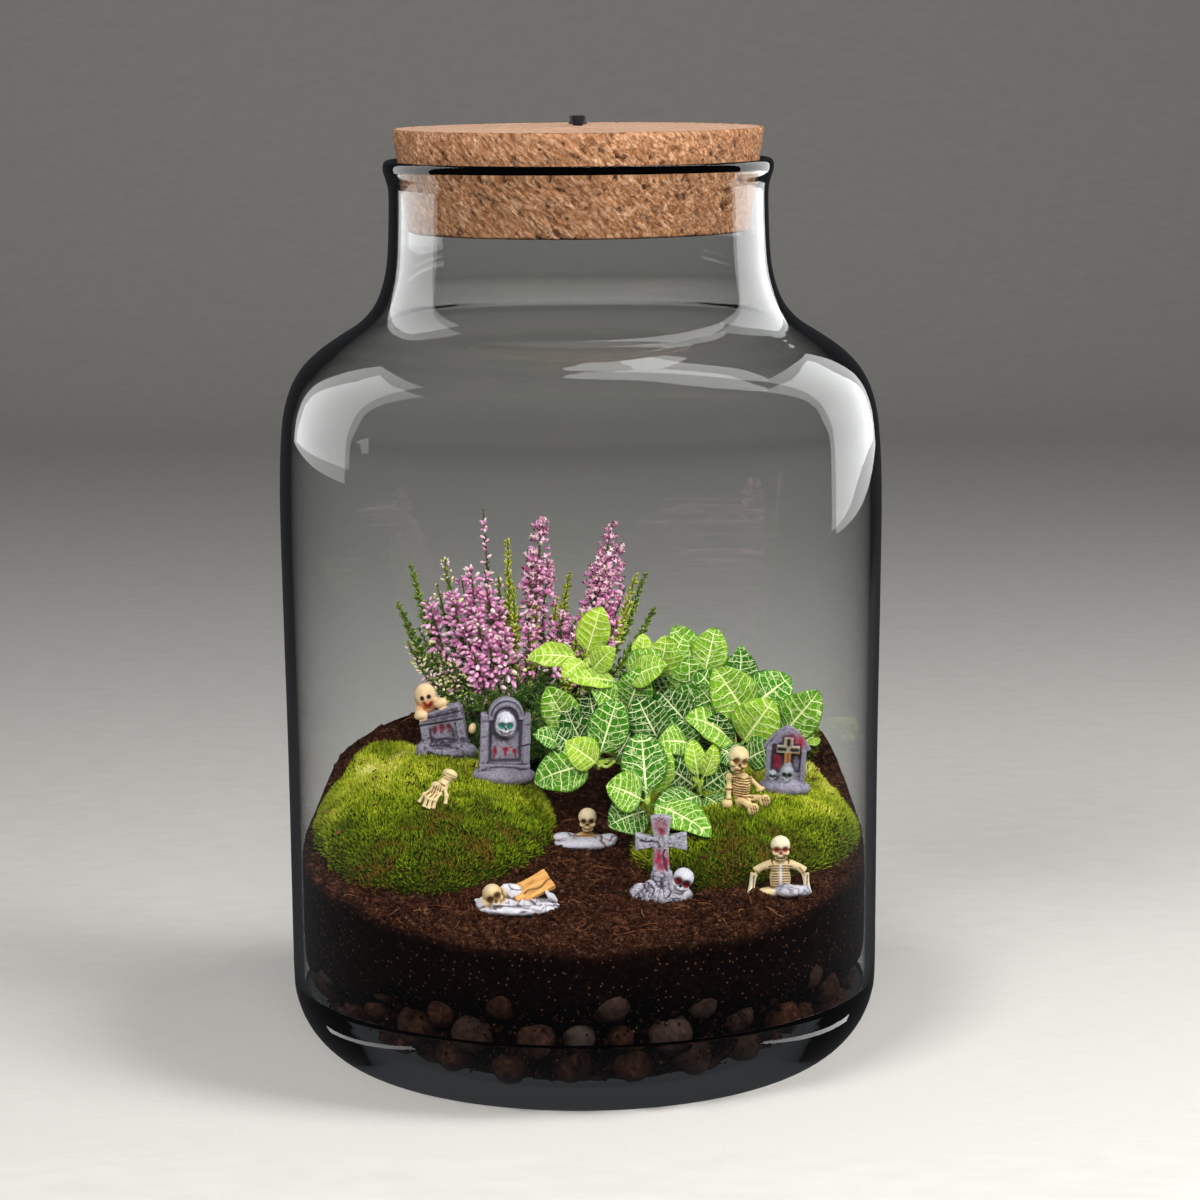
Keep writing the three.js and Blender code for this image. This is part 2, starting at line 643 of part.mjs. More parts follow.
function add(parent, name, body, material) {
  const mesh = new THREE.Mesh(geometryOf(body), MATERIAL[material]);
  mesh.name = name;
  parent.add(mesh);
}

function numbered(name, index) {
  return `${name}_${String(index + 1).padStart(2, '0')}`;
}

const container = group('container');
add(container, 'glass_jar', glassJar(), 'glass');
add(container, 'cork_stopper', corkStopper(), 'cork');
add(container, 'stopper_plug', stopperPlug(), 'blackPlastic');

const ground = group('ground');
const soil = pottingSoil();
add(ground, 'potting_soil', soil, 'soil');
PEBBLES.forEach((spot, i) => add(ground, numbered('clay_pebble', i), pebble(spot), 'clay'));

// What a piece can stand on: a height, and the same ground made fatter by the gap.
const grounds = [{ height: soilHeight, raised: soil.translate(0, 0, GAP) }];
for (const [name, cushion] of Object.entries(MOSS)) {
  const moss = mossCushion(cushion, grounds);
  add(ground, name, moss, 'moss');
  const height = (x, y) => mossHeight(cushion, x, y);
  grounds.push({ height, raised: swollen(moss) });
}

const ornaments = group('ornaments');
for (const [name, settings] of Object.entries(ORNAMENTS)) {
  add(ornaments, name, ornament(settings, grounds), settings.material);
}

const heather = group('heather');
add(heather, 'heather_bush', largest(trimmed(heatherBush(), grounds)), 'heatherGreen');
const bushSpace = heatherBush(GAP);
SPIKES.forEach((spike, i) => {
  const material = spike[3] > PINK_FROM ? 'heatherPink' : 'heatherGreen';
  const body = largest(heatherSpike(spike).subtract(bushSpace));
  add(heather, numbered('heather_spike', i), body, material);
});

const nervePlant = group('nerve_plant');
add(nervePlant, 'fittonia_stems', largest(trimmed(nerveStems(), grounds)), 'stem');
const stemSpace = nerveStems(GAP);
LEAVES.forEach((row, i) => {
  const body = largest(solid(leaf(row)).subtract(stemSpace));
  add(nervePlant, numbered('fittonia_leaf', i), body, 'leaf');
});

export default terrarium;
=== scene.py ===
# %% [markdown]
# # A planted terrarium, step by step
#
# This lesson builds the looks of a glass terrarium around the CAD frame in model.glb.
# Every shape is a surface worked out with numpy: rings of points, stacked along a profile or a
# path, with triangles between them. Every finish is a node material that is named for what the
# real surface is. Lengths are in millimetres until they go into a mesh, and in metres after that.

import bpy
import numpy as np
from mathutils import Matrix, Vector


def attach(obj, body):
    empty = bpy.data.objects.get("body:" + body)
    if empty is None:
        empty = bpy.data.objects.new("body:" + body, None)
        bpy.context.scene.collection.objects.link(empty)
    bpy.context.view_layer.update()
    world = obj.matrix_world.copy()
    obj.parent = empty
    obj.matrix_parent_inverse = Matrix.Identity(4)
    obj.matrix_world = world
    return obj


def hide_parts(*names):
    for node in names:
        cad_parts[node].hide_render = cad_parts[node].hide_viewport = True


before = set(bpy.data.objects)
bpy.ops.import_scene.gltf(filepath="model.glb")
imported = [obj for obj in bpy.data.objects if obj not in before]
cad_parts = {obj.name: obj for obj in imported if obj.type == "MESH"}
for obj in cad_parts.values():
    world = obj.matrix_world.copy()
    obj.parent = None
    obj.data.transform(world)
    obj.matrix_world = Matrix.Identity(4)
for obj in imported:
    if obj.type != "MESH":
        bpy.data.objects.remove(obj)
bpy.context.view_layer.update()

# %% [markdown]
# ## The camera
#
# A long lens stands 1.13 m in front of the jar and looks 9 degrees down, so the cork's top shows
# as a thin ellipse and the soil as a wide one. The jar stands a little left of the middle of the
# picture, which is a small sideways shift, and it leans by less than half a degree, which is the
# camera's own roll.

# %% Camera
PICTURE = 1200  # pixels on each side of the photograph
JAR_AXIS = 581.6  # pixels from the left to the jar's axis, half-way up

lens = bpy.data.cameras.new("camera")
lens.lens = 110.64
lens.sensor_width = 36
lens.clip_start = 0.01
lens.shift_x = (PICTURE / 2 - JAR_AXIS) / PICTURE
camera = bpy.data.objects.new("camera", lens)
tilt = Matrix.Rotation(np.radians(90 - 8.96), 4, "X")
roll = Matrix.Rotation(np.radians(-0.45), 4, "Z")
camera.matrix_world = Matrix.Translation((0, -1.127, 0.3206)) @ tilt @ roll
bpy.context.scene.collection.objects.link(camera)
bpy.context.scene.camera = camera
print("camera looks down by 8.96 degrees, shift", round(lens.shift_x, 4))

# %% [markdown]
# ## Small tools for materials
#
# A colour is easiest to judge as a hex value from a paint chart, but Blender mixes light in
# linear values, so one function turns the first into the second. Another adds a node with its
# settings and its links, so that each material below reads as a short list. Where an input is
# given a node, it is linked to the output that the node is mostly used for.


# %% Colour and nodes
def linear(code):
    """A hex colour to linear light: v / 12.92 up to 0.04045, else ((v + 0.055) / 1.055) ^ 2.4."""
    v = np.array([int(code[i : i + 2], 16) for i in (1, 3, 5)]) / 255
    light = np.where(v <= 0.04045, v / 12.92, ((v + 0.055) / 1.055) ** 2.4)
    return (*light.tolist(), 1.0)


MAIN_OUTPUT = {  # the output a node is mostly used for, where it isn't the first
    "ShaderNodeMix": 2,
    "ShaderNodeAttribute": 2,
    "ShaderNodeTexCoord": 3,
}


def plug(tree, node, inputs):
    """Sets a node's inputs. Each is a value, a hex colour, an output socket or another node."""
    for name, value in inputs.items():
        if isinstance(value, bpy.types.Node):
            value = value.outputs[MAIN_OUTPUT.get(value.bl_idname, 0)]
        if isinstance(value, bpy.types.NodeSocket):
            tree.links.new(value, node.inputs[name])
        else:
            node.inputs[name].default_value = linear(value) if isinstance(value, str) else value


def add(tree, kind, inputs=(), stops=(), **settings):
    """Adds a node with its settings, its inputs and the (place, colour) stops of its ramp."""
    made = tree.nodes.new("ShaderNode" + kind)
    for name, value in settings.items():
        setattr(made, name, value)
    plug(tree, made, dict(inputs))
    for i, (place, code) in enumerate(stops):
        ramp = made.color_ramp.elements
        stop = ramp[i] if i < 2 else ramp.new(place)
        stop.position = place
        stop.color = linear(code)
    return made


def new_finish(name, **inputs):
    """A material with one Principled shader. Underscores in an input's name stand for spaces."""
    material = bpy.data.materials.new(name)
    material.use_nodes = True
    tree = material.node_tree
    tree.nodes.clear()
    shader = add(tree, "BsdfPrincipled", {k.replace("_", " "): v for k, v in inputs.items()})
    add(tree, "OutputMaterial", {"Surface": shader})
    return material, tree, shader


def per(size):
    """Scale of a pattern on Object coordinates, in metres, whose features are `size` mm wide."""
    return 1000 / size


# %% [markdown]
# ## Small tools for shapes
#
# A turned jar, a stem, a leaf and a pebble are all the same kind of surface: a stack of closed
# rings, shut with a point at each end. One function makes the triangles for all of them. A ring's
# points may carry more numbers than x, y and z, and those become attributes for the material.


# %% Skins, meshes and copies
def skin(rings, ends=None):
    """Triangles over a stack of closed rings, rows x sides x channels, that run up the outside.

    Ring r, side s is point r * sides + s. Two more points shut the ends: the middles of the end
    rings, or the two points given.
    """
    rows, sides = rings.shape[:2]
    caps = np.stack([rings[0].mean(0), rings[-1].mean(0)])
    if ends is not None:
        caps[:, :3] = ends
    points = np.concatenate([rings.reshape(rows * sides, -1), caps])
    row = np.arange(rows - 1)[:, None] * sides
    side = np.arange(sides)
    after = (side + 1) % sides
    a, b = row + side, row + after
    wall = [np.stack([a, b, b + sides], -1), np.stack([a, b + sides, a + sides], -1)]
    first, last = rows * sides, rows * sides + 1
    top = (rows - 1) * sides
    shut = [np.stack([after, side, side * 0 + first], -1)]
    shut.append(np.stack([top + side, top + after, side * 0 + last], -1))
    return points, np.concatenate([f.reshape(-1, 3) for f in wall + shut])


def turned(profile, sides):
    """A turned surface: each (radius, height) becomes a ring (r cos a, r sin a, h)."""
    angle = np.linspace(0, 2 * np.pi, sides, endpoint=False)
    r, h = np.asarray(profile, float).T[:, :, None]
    return np.stack([r * np.cos(angle), r * np.sin(angle), h + 0 * angle], -1)


def smooth_path(points, spans):
    """A Catmull-Rom curve through points: each span is cut into `spans` steps."""
    p = np.asarray(points, float)
    p = np.concatenate([2 * p[:1] - p[1:2], p, 2 * p[-1:] - p[-2:-1]])
    t = np.arange(spans)[:, None] / spans
    a, b, c, d = (p[i : len(p) - 3 + i, None] for i in range(4))
    curve = b + 0.5 * t * (c - a + t * (2 * a - 5 * b + 4 * c - d + t * (3 * (b - c) + d - a)))
    return np.concatenate([curve.reshape(-1, p.shape[1]), p[-2:-1]])


def unit(vectors):
    """The same directions with length 1."""
    return vectors / np.maximum(np.linalg.norm(vectors, axis=-1, keepdims=True), 1e-12)


def tube(path, radius, sides):
    """A rod along a path: ring = path + r (cos a * x + sin a * y), with x and y across the path."""
    path = np.asarray(path, float)
    ahead = unit(np.gradient(path, axis=0))
    x = unit(np.cross([0.0, 0.0, 1.0], ahead))
    y = np.cross(ahead, x)
    angle = np.linspace(0, 2 * np.pi, sides, endpoint=False)[None, :, None]
    r = np.broadcast_to(np.asarray(radius, float), len(path))[:, None, None]
    ring = r * (np.cos(angle) * x[:, None] + np.sin(angle) * y[:, None])
    return path[:, None] + ring


def combine(*parts):
    """Several (points, faces) as one."""
    shifts = np.cumsum([0] + [len(p) for p, _ in parts[:-1]])
    faces = [f + shift for (_, f), shift in zip(parts, shifts)]
    return np.concatenate([p for p, _ in parts]), np.concatenate(faces)


def facing(direction, spin):
    """Turn matrices that take a shape's Z to each direction, after a spin about it in radians."""
    z = unit(direction)
    side = np.where(np.abs(z[:, 2:]) < 0.9, [[0.0, 0.0, 1.0]], [[1.0, 0.0, 0.0]])
    x = unit(np.cross(side, z))
    y = np.cross(z, x)
    c, s = np.cos(spin)[:, None], np.sin(spin)[:, None]
    return np.stack([c * x + s * y, c * y - s * x, z], -1)


def copies(shape, places, turns, sizes, *values):
    """Many copies of a small shape: point = turn @ (size * point) + place, plus one value each."""
    points, faces = shape
    sizes = np.broadcast_to(np.asarray(sizes, float).reshape(len(places), -1), (len(places), 3))
    sized = points[None, :, :3] * sizes[:, None]
    moved = np.einsum("nij,nvj->nvi", turns, sized) + places[:, None]
    extra = [np.broadcast_to(points[None, :, 3:], (*moved.shape[:2], points.shape[1] - 3))]
    extra += [np.broadcast_to(np.asarray(v)[:, None, None], (*moved.shape[:2], 1)) for v in values]
    moved = np.concatenate([moved] + extra, -1)
    shift = np.arange(len(places))[:, None, None] * len(points)
    return moved.reshape(-1, moved.shape[-1]), (faces + shift).reshape(-1, 3)


def piece(name, shape, material, channels=(), nodes=()):
    """Puts points (mm) and faces into a mesh object at the origin, in metres, and fits it out."""
    points, faces = shape
    mesh = bpy.data.meshes.new(name)
    mesh.vertices.add(len(points))
    mesh.vertices.foreach_set("co", (points[:, :3] / 1000).ravel())
    mesh.loops.add(faces.size)
    mesh.loops.foreach_set("vertex_index", faces.ravel())
    mesh.polygons.add(len(faces))
    mesh.polygons.foreach_set("loop_start", np.arange(len(faces)) * 3)
    mesh.polygons.foreach_set("use_smooth", np.full(len(faces), True))
    for i, channel in enumerate(channels):
        values = mesh.attributes.new(channel, "FLOAT", "POINT")
        values.data.foreach_set("value", np.ascontiguousarray(points[:, 3 + i], np.float32))
    mesh.update(calc_edges=True)
    mesh.materials.append(material)
    made = bpy.data.objects.new(name, mesh)
    bpy.context.scene.collection.objects.link(made)
    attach(made, "root")
    if nodes:
        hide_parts(*nodes)
    print(f"{name}: {len(faces)} triangles")
    return made


# %% [markdown]
# ## Hills for rough surfaces
#
# Soil, cork, moss and stone all need bumps that never repeat. Random heights on a lattice, eased
# from corner to corner, give rolling hills, and a few sizes added together give a rough surface.


# %% Random hills
def hills(points, size, seed=0):
    """Smooth noise from -1 to 1: random values on a lattice of `size` mm, eased by 3f^2 - 2f^3."""
    q = points[..., :3] / size
    cell = np.floor(q).astype(np.int64)
    f = q - cell
    f = f * f * (3 - 2 * f)
    total = 0
    for corner in np.ndindex(2, 2, 2):
        k = cell + corner
        h = k[..., 0] * 73856093 ^ k[..., 1] * 19349663 ^ k[..., 2] * 83492791 ^ seed * 2654435761
        h = (h ^ (h >> 13)) * 1274126177
        value = ((h ^ (h >> 16)) & 0xFFFF) / 32767.5 - 1
        total = total + value * np.prod(np.where(corner, f, 1 - f), -1)
    return total


def rough(points, size, seed=0, layers=3):
    """Hills of several sizes: each layer is half as wide and half as high as the one before."""
    sizes = [size / 2**i for i in range(layers)]
    total = sum(hills(points, s, seed + i) * 0.5**i for i, s in enumerate(sizes))
    return total / (2 - 0.5 ** (layers - 1))


# %% [markdown]
# ## The studio
#
# Clear glass is mostly seen by what it mirrors. Two tall white cards, one on each side and a
# little behind, draw the pale streaks on the neck and the shoulder. One overhead draws the pointed
# tongue on the right, and two low strips draw the bright lines along the foot. The cards only serve
# the reflections: they light nothing, and a straight look through the glass doesn't show them.
# Three soft lights, which the glass doesn't mirror, light the plants.
#
# The floor is a plain pale sheet in five parts that rises far behind. Mirrored inside the glass, it
# would lay a grey veil over the dark soil. So the paper is black to light that comes out of the
# glass after a bounce in it, and the square of floor under the jar isn't seen through the glass.


# %% Floor and lights
def soft_box(name, place, aim, size, power, across=(0, 0, 0), mirrored=False, shape="RECTANGLE"):
    """An area light at `place` that faces `aim`, in metres and watts. `across` is the way its
    width runs, level if it isn't given. A mirrored one is a card: it shows in reflections only."""
    light = bpy.data.lights.new(name, "AREA")
    light.shape = shape
    light.size, light.size_y = size
    light.energy = power
    lamp = bpy.data.objects.new(name, light)
    back = (Vector(place) - Vector(aim)).normalized()
    wide = Vector(across) if any(across) else Vector((0, 0, 1)).cross(back)
    wide = (wide - wide.dot(back) * back).normalized()
    facing_aim = Matrix((wide, back.cross(wide), back)).transposed()
    lamp.matrix_world = Matrix.Translation(place) @ facing_aim.to_4x4()
    lamp.visible_diffuse = not mirrored
    lamp.visible_glossy = lamp.visible_transmission = mirrored
    if mirrored:  # and a straight look through the glass doesn't show it
        light.use_nodes = True
        ray = add(light.node_tree, "LightPath")
        shown = add(light.node_tree, "Math", {0: ray.outputs["Glossy Depth"], 1: 1.0}, operation="MINIMUM")
        plug(light.node_tree, light.node_tree.nodes["Emission"], {"Strength": shown})
    bpy.context.scene.collection.objects.link(lamp)


soft_box("left_card", (-0.6, 0.32, 0.55), (0, 0.32, 0.55), (0.58, 0.8), 2.8, mirrored=True)
soft_box("right_card", (0.6, 0.6, 0.47), (0, 0.6, 0.47), (0.88, 0.76), 4.4, mirrored=True)
soft_box("overhead_card", (0.3, 0.175, 1.02), (0.03, -0.06, 0.22), (0.76, 0.2), 1.1, (0.7, 0.15, 0), True,
         "ELLIPSE")
soft_box("left_strip", (-0.55, 0.1, -0.33), (-0.08, -0.04, 0.02), (0.6, 0.03), 0.1, (0, 1, 0), True)
soft_box("right_strip", (0.55, 0.12, -0.3), (0.08, -0.04, 0.02), (0.6, 0.03), 0.14, (0, 1, 0), True)
soft_box("key_light", (-0.55, -0.95, 1.15), (0, 0, 0.1), (0.5, 0.5), 18)
soft_box("right_light", (0.8, -0.35, 0.75), (0, 0, 0.1), (0.4, 0.6), 14)
soft_box("front_light", (0.05, -1.4, 0.7), (0, 0, 0.08), (0.6, 0.4), 11)

world = bpy.data.worlds.new("studio_air")
world.use_nodes = True
plug(world.node_tree, world.node_tree.nodes["Background"], {"Color": "#c9ccd2", "Strength": 0.06})
bpy.context.scene.world = world
bpy.context.scene.view_settings.view_transform = "Standard"

paper, tree, shader = new_finish("pale_paper_sweep", Roughness=0.85)
grain = add(tree, "TexNoise", {"Scale": per(3), "Detail": 3.0})
tone = add(tree, "ValToRGB", {"Fac": grain}, [(0.3, "#c9c6c1"), (0.7, "#cfccc7")])
ray = add(tree, "LightPath")
bounces = add(tree, "Math", {0: ray.outputs["Glossy Depth"], 1: ray.outputs["Diffuse Depth"]},
              operation="ADD")
veil = add(tree, "Math", {0: bounces, 1: ray.outputs["Is Transmission Ray"]}, operation="MULTIPLY",
           use_clamp=True)  # 1 for light that comes out of the glass after a bounce in it
paled = add(tree, "Mix", {0: veil, 6: tone, 7: "#000000"}, data_type="RGBA")
plug(tree, shader, {"Base Color": paled})


def sheet(name, x, line, glass_sees_it=True):
    """A sheet between two x over a line of (y, z). The glass mirrors none of them."""
    left, right = (np.column_stack([np.full(len(line), end), line]) for end in x)
    row = np.arange(len(line) - 1)[:, None] * 2
    triangles = np.concatenate([row + [0, 1, 3], row + [0, 3, 2]])
    mesh = bpy.data.meshes.new(name)
    mesh.from_pydata((np.stack([left, right], 1).reshape(-1, 3) / 1000).tolist(), [], triangles.tolist())
    mesh.polygons.foreach_set("use_smooth", np.ones(len(triangles), bool))
    mesh.materials.append(paper)
    paper_sheet = bpy.data.objects.new(name, mesh)
    bpy.context.scene.collection.objects.link(paper_sheet)
    paper_sheet.visible_glossy = False
    paper_sheet.visible_transmission = glass_sees_it


EDGE = 110.0  # mm: the floor nearer to the middle than this does not show through the glass
bend = np.linspace(0, np.pi / 2, 24)
rising = np.column_stack([1700 + 1200 * np.sin(bend), 1200 - 1200 * np.cos(bend) - 0.3])
beside = np.array([[-EDGE, -0.3], [EDGE, -0.3]])
sheet("floor_under_the_jar", (-EDGE, EDGE), beside, False)
sheet("floor_left", (-2500, -EDGE), beside)
sheet("floor_right", (EDGE, 2500), beside)
sheet("floor_in_front", (-2500, 2500), np.array([[-3000, -0.3], [-EDGE, -0.3]]))
sheet("backdrop", (-2500, 2500), np.concatenate([[[EDGE, -0.3]], rising, [[2900, 3500]]]))
print("five sheets of floor, five cards and three lights; the floor ends", EDGE, "mm from the middle")

# %% [markdown]
# ## The glass jar
#
# The jar is pressed soda-lime glass, with a thick round base, an even wall and a rolled rim. Its
# CAD solid has 36 flat sides, which clear glass would show at once, so a finer turned surface
# takes its place. Its profile is one smooth curve that goes up the outside, over the rim and down
# the inside. It follows the CAD's, but the rim flares a little more and the floor is thinner.

# %% Jar: the shape
OUTSIDE = [(91.1, 45), (91.4, 95), (92.2, 150), (92.4, 178), (91.5, 197), (89.6, 207), (86.0, 214.5),
           (80.5, 220.3), (73.8, 225), (67.2, 229.3), (62.6, 234.5), (59.9, 241), (58.4, 249), (57.8, 262),
           (57.8, 269), (58.4, 272.3), (59.2, 274.8), (59.4, 276.5), (59.1, 277.8), (58.3, 278.5)]
INSIDE = [(57.5, 278.2), (55.9, 276.3), (55.3, 274.4), (55.3, 262), (55.9, 248), (57.3, 239.5), (60.0, 232.4),
          (64.8, 226.6), (71.6, 221.9), (78.3, 217.2), (83.6, 211.8), (86.8, 205), (88.6, 196), (89.2, 178),
          (89.0, 150), (88.2, 95)]
GAP = 0.3  # mm of air between the glass and what leans on it


def corner(radius, width, height, rise):
    """A quarter ellipse from the floor to the wall: (radius + w sin a, rise + h (1 - cos a))."""
    a = np.linspace(0, np.pi / 2, 8)
    return np.column_stack([radius + width * np.sin(a), rise + height * (1 - np.cos(a))])


outer_corner = corner(64.5, 26.4, 27, 0)
inner_corner = corner(61, 27, 27.5, 4.2)[::-1]
wall = smooth_path(np.concatenate([outer_corner, OUTSIDE, INSIDE, inner_corner]), 4)
foot = [(20, 1.2), (44, 1.2), (46.5, 0.6), (48, 0.1), (49, 0), (63, 0)]
profile = np.concatenate([foot, wall, [(40, 4.2), (10, 4.2)]])
jar_shape = skin(turned(profile, 192))
print("jar profile of", len(profile), "points, from", profile[:, 1].min(), "to", profile[:, 1].max())

# %% [markdown]
# Soda-lime glass has an IOR of 1.52 and a polished surface. It is almost colourless through a
# 3 mm wall, but a long way through it, as along the base, it looks green, because of the iron in
# it. So the colour is in the volume and not on the surface: the green deepens with distance.
# The jar casts no shadow, which lets the lights through to the plants as thin glass would.

# %% Jar: the material
glass, tree, shader = new_finish(
    "soda_lime_glass", Base_Color="#ffffff", Roughness=0.0, IOR=1.52, Transmission_Weight=1.0
)
tint = add(tree, "VolumeAbsorption", {"Color": "#a9d8c6", "Density": 14.0})
plug(tree, tree.nodes["Material Output"], {"Volume": tint})
jar = piece("clear_glass_jar", jar_shape, glass, nodes=["glass_jar"])
jar.visible_shadow = False

# %% [markdown]
# ## The cork stopper
#
# The stopper is agglomerated cork: granules of bark, 1 to 4 mm wide, pressed with a binder and
# turned on a lathe. The cut opens small holes and tears the edge, so the turned surface is pushed
# in where noise is low. The side was cut across the granules and is rough, and the top was sanded.

# %% Cork: the shape
CORK_FOOT, CORK_TOP = 257.0, 288.0  # mm over the table
rise = np.linspace(0, 1, 60)
side = np.column_stack([52 + 4.5 * rise, CORK_FOOT + (CORK_TOP - CORK_FOOT) * rise])
side[[0, -1], 0] -= [0.7, 0.5]
lower = np.column_stack([np.linspace(2, 50.6, 18), np.full(18, CORK_FOOT)])
upper = np.column_stack([np.linspace(55.6, 1, 44), np.full(44, CORK_TOP)])
cork_rings = turned(np.concatenate([lower, side, upper]), 500)
outward = np.concatenate([lower * 0 + [0, -1], side * 0 + [1, 0], upper * 0 + [0, 1]])
from_axis = np.hypot(*cork_rings[..., :2].T).T
push = np.concatenate([cork_rings[..., :2] / np.linalg.norm(cork_rings[..., :2], axis=-1, keepdims=True)
                       * outward[:, None, :1], outward[:, None, 1:] + 0 * cork_rings[..., :1]], -1)
way_round = 56 * np.arctan2(cork_rings[..., 0], -cork_rings[..., 1])
down, over = way_round - cork_rings[..., 2], way_round + cork_rings[..., 2]
grain = np.stack([0.4 * down, 1.1 * over, 0.3 * from_axis], -1)  # streaks fall to the right
pits = np.clip(rough(grain, 2.3, 5) - 0.36, 0, 1) * 4 + np.clip(hills(grain, 1.1, 9) - 0.45, 0, 1) * 2.5
on_side = np.abs(outward[:, :1]) + 0.25 * np.abs(outward[:, 1:])
depth = np.clip(pits, 0, 1) * on_side
edge = np.exp(-(((cork_rings[..., 2] - CORK_TOP) / 1.2) ** 2)) * (from_axis > 55)
torn = (edge * (np.clip(rough(cork_rings, 6, 21) + 0.1, 0, 1)
                + np.clip(hills(cork_rings, 1.9, 22) - 0.2, 0, 1)))
inward = 0.8 * depth + on_side * (0.42 * rough(grain, 1.5, 3) + 0.12) + 0.1
cork_rings = cork_rings - push * inward[..., None]
cork_rings[..., :2] *= 1 - torn[..., None] / 56
cork_shape = skin(np.concatenate([cork_rings, depth[..., None], (outward[:, 1:] + 0 * depth)[..., None]], -1))
print("cork holes cover", round(float((depth > 0.3).mean()), 3), "of its surface")

# %% [markdown]
# Cork is a matt, warm tan with a high roughness. Each granule has its own tone, from a Voronoi
# pattern of 2.6 mm cells, and the seams between granules are brown. The holes get the same dark
# brown as painted shade. The sanded top is paler and pinker.

# %% Cork: the material
cork, tree, shader = new_finish("agglomerated_cork", Roughness=0.9)
place = add(tree, "TexCoord")
lean = add(tree, "Mapping", {"Vector": place, "Rotation": (0.0, -0.785, 0.0)})
lean = add(tree, "Mapping", {"Vector": lean, "Scale": (0.5, 1.0, 1.25)})
granule = add(tree, "TexVoronoi", {"Vector": lean, "Scale": per(2.6), "Randomness": 1.0})
seams = add(tree, "TexVoronoi", {"Vector": lean, "Scale": per(2.6)}, feature="DISTANCE_TO_EDGE")
fine = add(tree, "TexNoise", {"Vector": lean, "Scale": per(1.1), "Detail": 5.0, "Roughness": 0.7})
coarse = add(tree, "TexNoise", {"Vector": place, "Scale": per(6), "Detail": 3.0})
tone = add(tree, "ValToRGB", {"Fac": fine}, [
    (0.38, "#4c2b18"), (0.46, "#a0704a"), (0.54, "#c99b76"), (0.63, "#f0d0b0")])
warm = add(tree, "Mix", {0: coarse, 6: tone, 7: "#a06d4a"}, data_type="RGBA")
each = add(tree, "SeparateColor", {"Color": granule.outputs["Color"]})
shade = add(tree, "MapRange", {"Value": each.outputs["Red"], "To Min": 0.78, "To Max": 1.12})
toned = add(tree, "VectorMath", {0: warm, "Scale": shade}, operation="SCALE")
level = add(tree, "Attribute", attribute_name="level")
sanded = add(tree, "Mix", {0: level, 6: toned, 7: "#dab79f"}, data_type="RGBA")
half = add(tree, "Mix", {0: 0.6, 6: toned, 7: sanded}, data_type="RGBA")
seam = add(tree, "MapRange", {"Value": seams, "From Max": 0.07, "To Min": 0.25, "To Max": 0.0})
holes = add(tree, "Attribute", attribute_name="hole")
# the seams are real dark joints; the hole depth darkens the colour as painted shade
seams_and_hole_shade = add(tree, "Math", {0: holes, 1: seam}, operation="MAXIMUM", use_clamp=True)
colour = add(tree, "Mix", {0: seams_and_hole_shade, 6: half, 7: "#3a1f12"}, data_type="RGBA")
relief = add(tree, "Bump", {"Strength": 0.9, "Distance": 0.001, "Height": fine})
plug(tree, shader, {"Base Color": colour, "Normal": relief})
piece("cork", cork_shape, cork, ["hole", "level"], ["cork_stopper"])

# %% [markdown]
# ## The black stud
#
# A small moulded black stud stands on the cork, behind its middle. It has a flared foot and a
# soft edge. Injection-moulded plastic has an IOR of 1.46 and a satin surface.

# %% Stud
stud_finish, tree, shader = new_finish("moulded_black_plastic", IOR=1.46)
wear = add(tree, "TexNoise", {"Scale": per(1.2), "Detail": 2.0})
satin = add(tree, "MapRange", {"Value": wear, "To Min": 0.35, "To Max": 0.55})
dull = add(tree, "ValToRGB", {"Fac": wear}, [(0.3, "#131216"), (0.8, "#242329")])
plug(tree, shader, {"Roughness": satin, "Base Color": dull})
stud_profile = smooth_path([(1.6, -9), (1.6, 0.2), (1.8, 0.3), (2.7, 0.32), (2.9, 0.5), (2.86, 0.75),
                            (2.62, 1.0), (2.55, 1.6), (2.6, 2.5), (2.5, 2.8), (2.2, 2.9), (0.6, 2.86)], 3)
stud_rings = turned(stud_profile, 40) + [0, 25, CORK_TOP]
piece("black_stud", skin(stud_rings), stud_finish, nodes=["stopper_plug"])

# %% [markdown]
# ## The ground in the jar
#
# The planting slopes up to the back. One function gives the soil's height, and another the height
# of a moss cushion on it, so that everything that stands on them can ask how high it is there.

# %% Heights of the soil and the moss
MOSS = {  # centre x and y, half-widths along x and y, rise over the soil
    "moss_cushion_left": (-47, 3, 37, 50, 14.5),
    "moss_cushion_right": (50.5, -4, 34.5, 44, 13),
    "moss_patch_back": (69, 36, 7.5, 7, 7),
}


def eased(value, start, end):
    """0 up to start, 1 from end on, and 3t^2 - 2t^3 between."""
    t = np.clip((value - start) / (end - start), 0, 1)
    return t * t * (3 - 2 * t)


def soil_height(x, y):
    """A slope of 0.196 to the back with low waves on it, and a bank against the back of the jar."""
    waves = 0.9 * np.sin(x / 13 + 1) * np.cos(y / 11) + 0.5 * np.sin(x / 6 - y / 8)
    bank = ((13.5 + 2.5 * np.tanh(x / 30)) * eased(y, 8 - 5 * np.tanh(x / 30), 42)
            * eased(np.hypot(x, y), 68, 87))
    return 71 + 0.196 * y + waves + bank


def soil_lumps(x, y):
    """Clods 7 mm wide with crumbs of 2.4 mm on them, about 1 mm high."""
    flat = np.stack([x, y, 0 * x + 60], -1)
    return 1.1 * rough(flat, 7, 50) + 0.9 * rough(flat, 2.4, 51, 2)


def settled(x, y):
    """0 in the open and 1 from 88 mm out, where the soil has sunk along the glass."""
    return np.clip((np.hypot(x, y) - 82) / 6, 0, 1) ** 2


